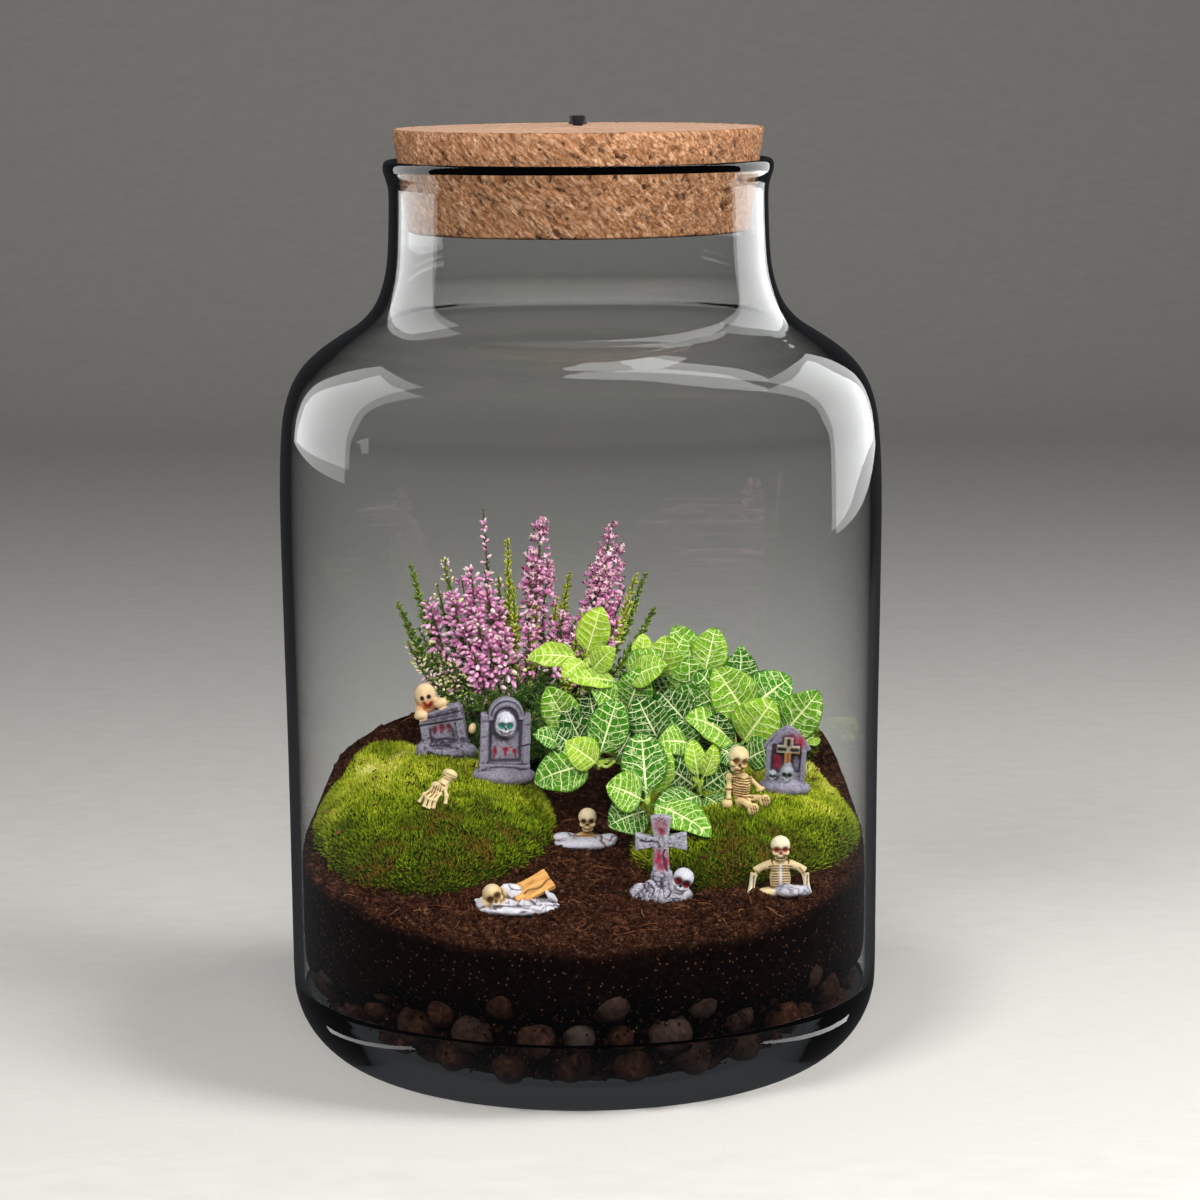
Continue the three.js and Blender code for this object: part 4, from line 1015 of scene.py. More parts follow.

# %% [markdown]
# The bush at the foot is a mass of short twigs with needle leaves. Twigs start at the middle and
# end on an ellipsoid, and their needles are lighter outward, with painted shade toward the middle. A
# dark body fills the middle as painted shade.

# %% Heather: the bush
ground = float(soil_height(HEATHER["x"], HEATHER["y"]))
heart = np.array([HEATHER["x"], HEATHER["y"], ground + 2.0])
half = np.array([HEATHER["rx"], HEATHER["ry"], HEATHER["top"] - ground - 2])
twigs = []
for _ in range(230):
    aim = unit(dice.normal(size=3) * [1, 1, 0.8] + [0, -0.25, 0.45])
    aim[2] = abs(aim[2]) * 0.95 + 0.05
    end = heart + aim * half * dice.uniform(0.72, 0.98)
    path = smooth_path([heart + 0.3 * aim * half, heart + 0.66 * aim * half + [0, 0, 2.5], end], 5)
    s = np.linspace(0.1, 1, 60)
    # paint rises outward: the inner needles are darker as painted shade
    paint = 0.11 + 0.16 * s**1.6 * dice.uniform(0.6, 1.4) + 0.02 * dice.normal(size=60)
    lean = 0.95 + 0.25 * dice.normal(size=60)
    twigs.append(dressed(path, s, needle, lean, dice.uniform(2.2, 3.6, 60), 0.1 + 0 * s, paint))
# a near-black body, painted shade inside the bush
a = np.linspace(0.05, 1.5, 9)
body = turned(np.column_stack([np.cos(a), np.sin(a)]), 24) * half * 0.62 + heart
body = skin(np.concatenate([body, 0 * body[..., :1] + 0.42, 0 * body[..., :1] + 0.1], -1))
piece("heather_twigs", combine(body, *twigs), heather_finish, ["tip", "paint"],
      ["heather_bush"])

# %% [markdown]
# ## The nerve plant
#
# A nerve plant (Fittonia) has soft oval leaves in pairs, with a net of cream veins. The blade is
# pillowed between its veins and a little wavy at the edge. Each leaf is a closed skin over a grid:
# `blade` runs from the stalk to the tip and `across` from one edge to the other. Both go to the
# material as attributes, because the veins follow the leaf and not the space around it.

# %% Nerve plant: a leaf
PAIRS = 6  # pairs of side veins


def leaf(root, tip, width, arch, face, tint, seed=0):
    """point = root + t along + half(t) a side + rise up. half is widest near the middle and rise
    is an arch, a fold at the midrib, pillows between the veins, and a wave at the edge."""
    root, tip, face = np.array(root, float), np.array(tip, float), np.array(face, float)
    length = np.linalg.norm(tip - root)
    side = unit(np.cross(face, tip - root))
    up = unit(np.cross(tip - root, side))
    t = np.linspace(0, 1, 38)[:, None]
    a = np.concatenate([np.linspace(-1, 1, 19), np.linspace(0.96, -0.96, 13)])
    below = (np.arange(32) >= 19).astype(float)
    blade = np.clip((t - 0.12) / 0.88, 0, 1)
    half = 0.56 * width * np.maximum(0.06, np.sin(np.pi * blade**0.8) ** 0.6)
    wave = 0.045 * width * np.sin(11 * blade + seed) * np.sin(5 * blade + 2 * seed) * a**2 * np.sign(a)
    edge = np.abs(a)
    vein = PAIRS * (blade - 0.3 * edge) / (1 - 0.3 * edge)
    pillow = 0.035 * half * np.cos(np.pi * vein) ** 2 * np.sin(np.pi * np.clip(edge, 0, 1)) ** 0.5
    rise = arch * 4 * t * (1 - t) + 0.2 * half * edge - 0.12 * half * edge**3 + wave + pillow
    rise = rise - 0.09 * length * np.clip(t - 0.7, 0, 1) ** 2 * 10 * (1 - 0.5 * edge)
    thick = 0.32 + 0.8 * np.exp(-((t / 0.09) ** 2))
    rise = rise - below * thick * np.minimum(1, 4 * (1 - edge) + 0.4)
    points = root + t[..., None] * (tip - root) + (half * a)[..., None] * side + rise[..., None] * up
    extra = np.stack([blade + 0 * a, a + 0 * t, tint + 0 * rise], -1)
    return skin(np.concatenate([points, extra], -1))


# %% [markdown]
# A leaf's skin is waxy and satin. Young leaves are yellow-green and old ones dark green. The
# midrib and the side veins are cream, and between them lies a finer net, drawn by the borders of
# Voronoi cells 2.1 mm wide. The midrib narrows to the tip.

# %% Nerve plant: the materials
veined, tree, shader = new_finish("veined_leaf", Roughness=0.42, IOR=1.38)
place = add(tree, "TexCoord")
blade, across, tint = (add(tree, "Attribute", attribute_name=name)
                       for name in ("blade", "across", "tint"))
edge = add(tree, "Math", {0: across}, operation="ABSOLUTE")
back = add(tree, "Math", {0: edge, 1: 0.3}, operation="MULTIPLY")
upper = add(tree, "Math", {0: blade, 1: back}, operation="SUBTRACT")
lower = add(tree, "Math", {0: 1.0, 1: back}, operation="SUBTRACT")
order = add(tree, "Math", {0: upper, 1: lower}, operation="DIVIDE")
warp = add(tree, "TexNoise", {"Vector": place, "Scale": per(5), "Detail": 1.0})
shifted = add(tree, "Math", {0: order, 1: PAIRS, 2: warp}, operation="MULTIPLY_ADD")
turn = add(tree, "Math", {0: shifted, 1: 1.0}, operation="FRACT")
off = add(tree, "Math", {0: turn, 1: 0.5}, operation="SUBTRACT")
off = add(tree, "Math", {0: off}, operation="ABSOLUTE")
side_vein = add(tree, "MapRange", {"Value": off, "From Min": 0.025, "From Max": 0.075,
                                   "To Min": 1.0, "To Max": 0.0})
taper = add(tree, "MapRange", {"Value": blade, "To Min": 0.055, "To Max": 0.02})
wide = add(tree, "Math", {0: edge, 1: taper}, operation="DIVIDE")
midrib = add(tree, "MapRange", {"Value": wide, "From Min": 0.7, "From Max": 1.3,
                                "To Min": 1.0, "To Max": 0.0})
cells = add(tree, "TexVoronoi", {"Vector": place, "Scale": per(2.1)}, feature="DISTANCE_TO_EDGE")
net = add(tree, "MapRange", {"Value": cells, "From Min": 0.015, "From Max": 0.06,
                             "To Min": 0.5, "To Max": 0.0})
veins = add(tree, "Math", {0: side_vein, 1: midrib}, operation="MAXIMUM")
veins = add(tree, "Math", {0: veins, 1: net}, operation="MAXIMUM")
rim = add(tree, "MapRange", {"Value": edge, "From Min": 0.86, "From Max": 0.97,
                             "To Min": 1.0, "To Max": 0.25})
veins = add(tree, "Math", {0: veins, 1: rim}, operation="MULTIPLY")
mottle = add(tree, "TexNoise", {"Vector": place, "Scale": per(4), "Detail": 3.0})
age = add(tree, "Math", {0: mottle, 1: 0.35, 2: tint}, operation="MULTIPLY_ADD")
flesh = add(tree, "ValToRGB", {"Fac": age}, [
    (0.08, "#a9c42c"), (0.32, "#76a324"), (0.62, "#3f7c18"), (0.9, "#1d4f12"), (1.0, "#13360c")])
vein_tone = add(tree, "Mix", {0: tint, 6: "#eaf0a6", 7: "#dfeab8"}, data_type="RGBA")
green = add(tree, "Mix", {0: veins, 6: flesh, 7: vein_tone}, data_type="RGBA")
relief = add(tree, "Bump", {"Strength": 0.35, "Distance": 0.0003, "Height": veins}, invert=True)
plug(tree, shader, {"Base Color": green, "Normal": relief})

stem_finish, tree, shader = new_finish("green_stem", Roughness=0.5)
place = add(tree, "TexCoord")
mottle = add(tree, "TexNoise", {"Vector": place, "Scale": per(3), "Detail": 3.0})
tone = add(tree, "ValToRGB", {"Fac": mottle}, [(0.35, "#7f9a34"), (0.55, "#a5bd4e"), (0.7, "#c3cf86")])
plug(tree, shader, {"Base Color": tone})

# %% [markdown]
# The stems rise together from the crown and bend apart. The first seventeen leaves are the CAD
# frame's own, from a joint on a stem to a tip. The smaller ones between them hang on stalks of
# their own, and they fill the plant so that little of what is behind shows.

# %% Nerve plant: stems and leaves
CROWN = (22, 25)
SHOOTS = {"a": (1, 20, 121), "b": (13, 16, 114), "c": (39, 36, 111), "d": (52, 28, 102), "e": (4.5, 4, 91),
          "f": (19.5, -20, 83.5), "g": (36, -4, 86), "h": (70, 30, 91), "i": (49.5, 16, 93)}
LEAVES = [  # joint, tip, width, arch, the way it faces, age from 0 to 1
    ("a", (6, 18, 138), 10, 0.8, (0, -1, 0.4), 0.02), ("a", (-17, 21, 122), 10.5, 1, (0, -0.7, 1), 0.05),
    ("b", (-4, 9, 117), 8, 0.8, (0, -0.8, 1), 0.08), ("b", (26, 10, 121), 11, 1, (-0.2, -1, 1), 0.12),
    ("c", (30, 50, 127), 10, 0.8, (0, -1, 0.3), 0.3), ("c", (43, 37, 128), 11, 0.8, (0, -1, 0.3), 0.22),
    ("d", (45, 40, 119), 9.5, 0.8, (0.2, -1, 0.4), 0.35), ("d", (67, 30, 113), 14, 1, (0.2, -1, 0.6), 0.45),
    ("i", (60, 11, 109), 14.5, 1.4, (0.2, -1, 0.5), 0.12), ("i", (33, 8, 105), 14, 2, (-0.2, -1, 1.2), 0.25),
    ("h", (77, 36, 93), 6, 0.5, (0, -1, 0.8), 0.1), ("e", (11, 6, 111), 12, 1, (0, -1, 0.3), 0.5),
    ("e", (-15, 0, 86), 14.5, 1.4, (0, -0.9, 0.8), 0.4),
    ("f", (18, -10, 103.5), 13, 1.2, (0, -1, 0.35), 0.55),
    ("f", (7.5, -25, 90), 12.5, 1, (-0.2, -1, 0.7), 0.3),
    ("f", (38.5, -32, 76), 12, 1.4, (0.3, -0.8, 1), 0.35), ("g", (34, 1, 99), 6, 0.5, (0, -1, 0.3), 0.08),
]
SMALL_LEAVES = [  # root, tip, width, arch, the way it faces, age from 0 to 1
    ((1, 19, 121), (-6, 12, 117), 7, 0.6, (0, -1, 0.8), 0.05),
    ((3, 15, 118), (10, 11, 126), 8, 0.8, (0, -1, 0.6), 0.08),
    ((14, 24, 113), (25, 24, 122), 11, 1, (-0.2, -1, 0.6), 0.3),
    ((18, 30, 117), (20, 32, 127), 7, 0.6, (0.4, -1, 0.2), 0.02),
    ((27, 34, 115), (33, 38, 126), 10, 0.8, (0.3, -1, 0.4), 0.3),
    ((49, 36, 113), (52, 38, 122), 5, 0.5, (0.3, -1, 0.2), 0.4),
    ((34, 8, 96), (24, 2, 98), 10, 1, (0, -1, 0.7), 0.3),
    ((34, 16, 100), (24, 12, 112), 11, 1, (-0.3, -1, 0.5), 0.7),
    ((3, 6, 91), (-6, 9, 109), 9, 0.8, (-0.5, -1, 0.2), 0.75),
    ((-7, 5, 97), (-15, 1, 101), 7, 0.6, (0, -1, 0.8), 0.5),
    ((5, 0, 91), (-5, -4, 99), 10, 0.8, (-0.1, -1, 0.5), 0.05),
    ((20, -15, 80), (8, -22, 77), 13, 1, (0, -1, 0.6), 0.6),
    ((20, -13, 83), (26, -12, 99), 9, 0.8, (0.1, -1, 0.3), 0.15),
    ((37, -8, 83), (22, -20, 80), 11, 1.2, (0, -1, 0.9), 0.55),
    ((36, 0, 83), (25, -4, 92), 11, 1, (0, -1, 0.5), 0.75),
    ((37, -8, 83), (45, -14, 78), 8, 0.8, (0.2, -1, 0.9), 0.6),
    ((36, 2, 82), (47, 0, 90), 10, 1, (0.2, -1, 0.6), 0.7),
    ((12, 14, 107), (3, 9, 114), 9, 0.8, (-0.1, -1, 0.6), 0.35),
    ((34, 26, 103), (34, 21, 121), 12, 1, (0, -1, 0.4), 0.35),
    ((29, 20, 100), (41, 21, 114), 11, 1, (0.1, -1, 0.4), 0.55),
    ((48, 18, 97), (37, 14, 113), 12, 1, (-0.1, -1, 0.4), 0.5),
    ((5, 12, 96), (2, 14, 112), 12, 1, (0, -1, 0.3), 0.8),
    ((24, 8, 97), (17, 8, 111), 12, 1, (-0.2, -1, 0.3), 0.7),
    ((51, 14, 89), (60, 8, 95), 10, 0.8, (0.1, -1, 0.6), 0.6),
    ((43, 6, 95), (50, -1, 91), 9, 0.8, (0.1, -1, 0.7), 0.65),
    ((18, 6, 95), (28, 0, 93), 10, 1, (0, -1, 0.7), 0.8),
    ((10, 6, 91), (19, 11, 107), 10, 1, (0.3, -1, 0.3), 0.78),
    ((60, 26, 93), (70, 22, 104), 9, 0.8, (0.3, -1, 0.4), 0.5),
    ((37, -4, 87), (41, -5, 98), 6, 0.5, (0.5, -1, 0.2), 0.06),
    ((40, 20, 108), (52, 17, 116), 10, 1, (0.1, -1, 0.6), 0.3),
    ((22, 30, 104), (30, 24, 113), 11, 1, (0.2, -1, 0.6), 0.75),
    ((-3, 12, 99), (-11, 8, 114), 11, 0.8, (-0.2, -1, 0.4), 0.32),
    ((47, 24, 103), (37, 19, 117), 12, 1, (0, -1, 0.5), 0.55),
    ((53, 18, 101), (42, 12, 119), 14.5, 1.2, (-0.1, -1, 0.5), 0.2),
    ((24, 30, 111), (27, 26, 127), 11, 0.8, (0.1, -1, 0.3), 0.12),
    ((50, 32, 107), (51, 30, 122), 11, 0.8, (0.2, -1, 0.4), 0.6),
    ((62, 18, 95), (75, 14, 111), 13, 1, (0.2, -1, 0.4), 0.32),
    ((33, 12, 89), (28, 7, 104), 12, 1, (0, -1, 0.4), 0.65),
    ((40, 18, 91), (43, 10, 105), 12, 1, (0.2, -1, 0.4), 0.75),
    ((14, 16, 105), (19, 12, 119), 11, 1, (0.1, -1, 0.5), 0.4),
    ((-1, 10, 93), (-9, 4, 101), 9, 0.8, (-0.1, -1, 0.5), 0.7),
    ((30, 2, 84), (18, -2, 93), 11, 1, (0, -1, 0.5), 0.8),
    ((24, 36, 96), (13, 46, 112), 12, 1, (-0.2, 1, 0.6), 0.6),
    ((30, 38, 96), (38, 54, 106), 12, 1, (0.2, 1, 0.7), 0.5),
    ((48, 36, 96), (58, 50, 106), 11, 1, (0.2, 1, 0.6), 0.5),
    ((18, 34, 92), (4, 40, 100), 11, 1, (-0.4, 0.8, 0.8), 0.6),
]
crown_ground = float(soil_height(*CROWN))
crown = np.array([*CROWN, crown_ground])
rods = []


def lifted(end):
    """A stem from the crown: up first, then over to its end."""
    step = np.array(end, float) - crown
    high = max(14, 0.75 * step[2])
    return [crown + [0, 0, 2], crown + [0.12 * step[0], 0.12 * step[1], 9],
            crown + [0.5 * step[0], 0.5 * step[1], high], end]


for end in SHOOTS.values():
    path = smooth_path(lifted(end), 8)
    knots = 1 + 0.25 * np.exp(-(((np.arange(len(path)) - len(path) + 1) / 1.2) ** 2))
    rods.append(skin(tube(path, np.linspace(1.05, 0.8, len(path)) * knots, 10)))
joints = np.array(list(SHOOTS.values()), float)
for root, *_ in SMALL_LEAVES:
    near = joints[np.argmin(np.linalg.norm(joints - root, axis=1))]
    start = near if np.linalg.norm(near - root) < 9 else crown + [0, 0, 9]
    middle = 0.5 * (start + np.array(root)) + [0, 0, -1.5]
    rods.append(skin(tube(smooth_path([start, middle, root], 6), 0.55, 7)))
a = np.linspace(-1.4, 1.4, 9)
crown_body = skin(turned(np.column_stack([3.2 * np.cos(a), 6 * np.sin(a)]), 16) + crown)
piece("nerve_plant_stems", combine(crown_body, *rods), stem_finish, nodes=["fittonia_stems"])

for i, (joint, end, width, arch, face, age) in enumerate(LEAVES):
    step = unit(np.array(end, float) - SHOOTS[joint])
    grown = leaf(np.array(SHOOTS[joint]) + 1.1 * step, end, width, arch, face, age, i)
    piece(f"veined_leaf_{i + 1:02d}", grown, veined, ["blade", "across", "tint"],
          [f"fittonia_leaf_{i + 1:02d}"])
small = [leaf(*row, seed=i + 0.5) for i, row in enumerate(SMALL_LEAVES)]
piece("small_veined_leaves", combine(*small), veined, ["blade", "across", "tint"])

# %% [markdown]
# ## Nine little resin figures
#
# The graveyard figures are cast in resin and painted by hand: a pale coat, a thin dark wash that
# stays in the hollows, and a few spots of bright paint. Each one is built the same way. Balls,
# rods and plates are melted into one skin by voxels of a fifth of a millimetre, as resin fills one
# mould. Then sockets, grooves and cracks are pressed into that skin from the front, and the paint
# is worked out for each point. x is to the right, y to the back and z up, from the figure's foot.


# %% Resin: parts of a mould
def tilted(part, degrees):
    """A part leaned to the right in the picture plane: x' = x cos + z sin, z' = z cos - x sin."""
    c, s = np.cos(np.radians(degrees)), np.sin(np.radians(degrees))
    return part[0] @ np.array([[c, 0, -s], [0, 1, 0], [s, 0, c]]), part[1]


def moved(part, *step):
    """A part shifted by (x, y, z)."""
    return part[0] + np.array(step), part[1]


def ball(size, at=(0, 0, 0), tilt=0.0):
    """An ellipsoid with half-widths `size`."""
    a = np.linspace(-1.5, 1.5, 17)
    round_skin = skin(turned(np.column_stack([np.cos(a), np.sin(a)]), 26) * size)
    return moved(tilted(round_skin, tilt), *at)


def rod(points, radii):
    """A smooth rod through points, with its radius eased between the given ones."""
    path = smooth_path(points, 6)
    share = np.linspace(0, 1, len(path))
    return skin(tube(path, np.interp(share, np.linspace(0, 1, len(radii)), radii), 12))


def plate(outline, middle, thick, back=0.0):
    """An upright plate: an outline of (x, z) points, seen from the front, with a soft edge."""
    x, z = (np.array(outline, float) - middle).T
    layers = ((0.96, thick / 2), (1, thick / 2 - 0.3), (1, 0.3 - thick / 2), (0.96, -thick / 2))
    return skin(np.array([np.column_stack([middle[0] + k * x, 0 * x + back + y, middle[1] + k * z])
                          for k, y in layers]))


def bar(x, z, thick, back=0.0):
    """A plate with straight sides from x[0] to x[1] and from z[0] to z[1]."""
    outline = [(x[0], z[0]), (x[1], z[0]), (x[1], z[1]), (x[0], z[1])]
    return plate(outline, (sum(x) / 2, sum(z) / 2), thick, back)


def skull_parts(size, at, tilt=0.0):
    """A crown, brow, two cheekbones and a jaw, in shares of the skull's width."""
    rows = [((0.48, 0.52, 0.48), (0, 0, 0.14)), ((0.4, 0.2, 0.13), (0, -0.29, 0.02)),
            ((0.17, 0.2, 0.15), (-0.25, -0.26, -0.2)), ((0.17, 0.2, 0.15), (0.25, -0.26, -0.2)),
            ((0.3, 0.3, 0.22), (0, -0.14, -0.42)), ((0.35, 0.34, 0.32), (0, 0.02, -0.2))]
    return [moved(tilted(ball(np.array(s) * size, np.array(p) * size), tilt), *at) for s, p in rows]


# %% [markdown]
# A casting keeps its points, normals and paint together. `hollow` is how deep a point lies between
# its neighbours: the skin is smoothed a few times, and the smooth skin lies outside the real one in
# a groove. The wash settles where that distance is large.

# %% Resin: a casting
class Casting:
    """One figure: points, faces, normals and a colour for each point, with the ways to work it."""

    def __init__(self, parts, coat, grit=0.5, voxel=0.22):
        points, faces = combine(*parts)
        mesh = bpy.data.meshes.new("mould")
        mesh.from_pydata(points.tolist(), [], faces.tolist())
        mould = bpy.data.objects.new("mould", mesh)
        bpy.context.scene.collection.objects.link(mould)
        melt = mould.modifiers.new("melt", "REMESH")
        melt.mode, melt.voxel_size = "VOXEL", voxel
        made = mould.evaluated_get(bpy.context.evaluated_depsgraph_get()).to_mesh()
        made.calc_loop_triangles()
        points, faces = np.zeros(3 * len(made.vertices)), np.zeros(3 * len(made.loop_triangles), int)
        made.vertices.foreach_get("co", points)
        made.loop_triangles.foreach_get("vertices", faces)
        bpy.data.objects.remove(mould)
        bpy.data.meshes.remove(mesh)
        self.points, self.faces = points.reshape(-1, 3), faces.reshape(-1, 3)
        self.colour = np.tile(linear(coat)[:3], (len(self.points), 1))
        self.grit = np.full(len(self.points), grit)
        self.turn_out()

    def gather(self, values):
        """For every point, the sum of a value over the corners of the faces round it."""
        return np.bincount(self.faces.ravel(), values.ravel(), len(self.points))

    def turn_out(self):
        """Works out the normals again, as the mean of the faces round each point."""
        a, b, c = (self.points[self.faces[:, i]] for i in range(3))
        over = np.cross(b - a, c - a)
        self.normal = unit(np.stack([self.gather(np.repeat(over[:, i], 3)) for i in range(3)], -1))

    def smoothed(self, values, times):
        """The mean of each point's neighbours, taken again and again."""
        count = 2 * self.gather(np.ones(self.faces.shape))
        for _ in range(times):
            at = values[self.faces]
            values = self.gather(at.sum(1, keepdims=True) - at) / count
        return values

    def oval(self, x, z, rx, rz, tilt=0.0, facing_front=0.15, soft=9.0):
        """1 inside an oval of the picture plane, on what faces the front, with a soft edge."""
        c, s = np.cos(np.radians(tilt)), np.sin(np.radians(tilt))
        u, v = self.points[:, 0] - x, self.points[:, 2] - z
        reach = np.hypot((c * u - s * v) / rx, (s * u + c * v) / rz)
        return (self.normal[:, 1] < -facing_front) / (1 + np.exp(np.clip((reach - 1) * soft, -50, 50)))

    def lump(self, at, size):
        """1 inside an ellipsoid in space, with a soft edge."""
        reach = np.linalg.norm((self.points - at) / size, axis=1)
        return 1 / (1 + np.exp(np.clip((reach - 1) * 14, -50, 50)))

    def line(self, points, width, wobble=0.0):
        """1 along a broken line of the picture plane, for what faces the front."""
        drift = np.stack([hills(self.points, 1.5, 4), hills(self.points, 1.5, 8)], -1)
        q = self.points[:, [0, 2]] + wobble * drift
        nearest = np.full(len(q), 99.0)
        for a, b in zip(np.array(points[:-1], float), np.array(points[1:], float)):
            share = np.clip((q - a) @ (b - a) / ((b - a) @ (b - a)), 0, 1)[:, None]
            nearest = np.minimum(nearest, np.linalg.norm(q - a - share * (b - a), axis=1))
        return np.exp(-((nearest / width) ** 2)) * (self.normal[:, 1] < -0.15)

    def veins(self, size, width, seed):
        """1 along thin winding lines: where smooth noise crosses zero."""
        return np.exp(-((hills(self.points, size, seed) / width) ** 2))

    def press(self, mask, depth):
        """Pushes the front in by `depth` mm where the mask is 1."""
        self.points[:, 1] += depth * mask
        self.turn_out()

    def groove(self, points, width, depth, mask=1.0, wobble=0.0):
        """Presses a broken line in, and returns 1 where it is deepest, down to 0 beside it."""
        mask = self.line(points, width, wobble) * mask
        self.press(mask, depth)
        return mask

    def roughen(self, size, height, seed, mask=1.0):
        """Moves the skin out and in by up to `height` mm, with hills of `size` mm."""
        self.points += self.normal * (height * rough(self.points, size, seed) * mask)[:, None]
        self.turn_out()

    def paint(self, mask, code):
        """Mixes a colour in where the mask is 1."""
        self.colour += np.clip(mask, 0, 1)[:, None] * (np.array(linear(code)[:3]) - self.colour)

    def wash(self, code, strength=1.0):
        """Thin dark paint that stays where the skin is hollow, in patches."""
        smooth = np.stack([self.smoothed(self.points[:, i], 7) for i in range(3)], -1)
        hollow = np.einsum("ij,ij->i", smooth - self.points, self.normal) / 0.07
        hollow = self.smoothed(np.clip(hollow, 0, 1.5), 1) * (1 + 0.5 * rough(self.points, 4, 33))
        self.paint(np.clip(strength * hollow, 0, 0.92), code)

    def skull_face(self, size, at, tilt=0.0, socket="#3b2415", teeth="#3a2a22", wide=1.0):
        """Presses sockets, nose and teeth into a skull, in shares of its width."""
        c, s = np.cos(np.radians(tilt)), np.sin(np.radians(tilt))

        def on_face(x, z):
            return at[0] + size * (c * x + s * z), at[2] + size * (c * z - s * x)

        near = self.lump(at, np.array([0.62, 0.8, 0.75]) * size)
        rows = [(-0.2, -0.03, 0.15 * wide, 0.14 * wide, 0.13), (0.2, -0.03, 0.15 * wide, 0.14 * wide, 0.13),
                (0, -0.22, 0.06, 0.08, 0.08)]
        for x, z, rx, rz, depth in rows:
            mask = self.oval(*on_face(x, z), rx * size, rz * size, tilt, 0.0, 6.0) * near
            self.press(mask, depth * size)
            self.paint(mask * 1.1, socket)
        if teeth:
            gaps = [((x, -0.37), (x, -0.5)) for x in np.linspace(-0.18, 0.18, 6)]
            bite = [((-0.22, -0.42), (0, -0.46)), ((0, -0.46), (0.22, -0.42))]
            for ends in gaps + bite:
                ends = [on_face(*end) for end in ends]
                self.paint(0.75 * self.groove(ends, 0.03 * size, 0.035 * size, near), teeth)

    def stand(self, name, x, y, turn, slot, node, sink=0.6, ground=ground_height):
        """Turns the figure about its foot, stands it on the ground and makes it a piece."""
        c, s = np.cos(np.radians(turn)), np.sin(np.radians(turn))
        foot = np.array([x, y, float(ground(np.float64(x), np.float64(y))) - sink])
        placed = self.points @ np.array([[c, s, 0], [-s, c, 0], [0, 0, 1]]) + foot
        shape = np.column_stack([placed, self.colour, self.grit]), self.faces
        return piece(name, shape, resin, ["red", "green", "blue", "grit"], [node])


# %% [markdown]
# Cast resin under matt acrylic paint has an IOR near 1.5 and hardly shines. The stone figures have
# dark specks a third of a millimetre wide, which a dry brush and the pores of the cast leave. They
# are drawn at half a millimetre, so that they show.

# %% Resin: the material
resin, tree, shader = new_finish("painted_cast_resin", Roughness=0.62, IOR=1.5)
place = add(tree, "TexCoord")
names = ("red", "green", "blue")
parts = {i: add(tree, "Attribute", attribute_name=name) for i, name in enumerate(names)}
coat = add(tree, "CombineColor", parts)
grit = add(tree, "Attribute", attribute_name="grit")
specks = add(tree, "TexNoise", {"Vector": place, "Scale": per(0.55), "Detail": 3.0, "Roughness": 0.7})
clouds = add(tree, "TexNoise", {"Vector": place, "Scale": per(3.5), "Detail": 3.0})
dark = add(tree, "MapRange", {"Value": specks, "From Min": 0.32, "From Max": 0.52,
                              "To Min": 1.0, "To Max": 0.0})
dark = add(tree, "Math", {0: dark, 1: grit}, operation="MULTIPLY")
speckled = add(tree, "Mix", {0: dark, 6: coat, 7: "#3d3a44"}, data_type="RGBA")
level = add(tree, "MapRange", {"Value": clouds, "From Min": 0.3, "From Max": 0.7,
                               "To Min": 0.86, "To Max": 1.1})
shade = add(tree, "VectorMath", {0: speckled, "Scale": level}, operation="SCALE")
relief = add(tree, "Bump", {"Strength": 0.5, "Distance": 0.0002, "Height": specks})
plug(tree, shader, {"Base Color": shade, "Normal": relief})

# %% [markdown]
# ### Two gravestones on the left
#
# A cream ghost leans over a broken, tilted stone: a round head, mitten hands on the top edge, two
# black eyes and a red smile. Beside it stands an arched stone with block pillars, a recessed panel
# and a skull with green eyes. The red paint on both panels is a few plain blots.

# %% Ghost gravestone
LEAN = -8


def on_leaning_stone(x, z):
    """Where a point of the upright stone goes when it leans."""
    return 0.99 * x - 0.139 * z, 0.139 * x + 0.99 * z + 1.5


band = [(-7.5, 9.4), (6.7, 9.9), (6.8, 13.4), (5.4, 14.8), (-6.9, 12.3)]
leaning = [plate([(-7, 0), (6.6, 0), (6.4, 13), (-7, 11)], (0, 6), 4.2), plate(band, (0, 11.6), 5.6),
           bar((-7.3, -4.8), (0, 10), 5.0), bar((4.5, 7), (0, 11), 5.0), bar((-7.4, 7.2), (0, 2.0), 6.4)]
leaning = [moved(tilted(part, LEAN), 0, 0, 1.5) for part in leaning]
rocks = [ball((9.8, 5.6, 4.2), (0, -0.5, 1.2)), ball((3.6, 3.4, 3.2), (-6.4, -1.8, 1.8)),
         ball((3.8, 3.4, 2.8), (6, -1.8, 1.6)), ball((6, 3, 1.6), (0.4, -4.4, 2.0), 6)]
HEAD = np.array([-7.2, 1.2, 18.8])
spook = [ball((3.6, 3.3, 4.1), HEAD), ball((3.4, 2.7, 5.0), (-6, 2.7, 13)),
         ball((2.3, 1.9, 1.6), (-8.2, -1.6, 13.0), -12), ball((2.3, 2, 1.7), (-1.9, -0.8, 16.8), -20),
         rod([(-4.6, 2.2, 16), (-3.2, 0.8, 16.8), (-2, -0.4, 16.8)], (1.8, 1.6)),
         rod([(-8.4, 2, 15.4), (-9, 0.4, 14.4), (-8.4, -1.2, 13.4)], (1.6, 1.6)),
         ball((1.2, 1.4, 1.8), (8, 1.2, 8.4), 12)]
ghost = Casting(leaning + rocks + spook, "#8b8694", 0.85)
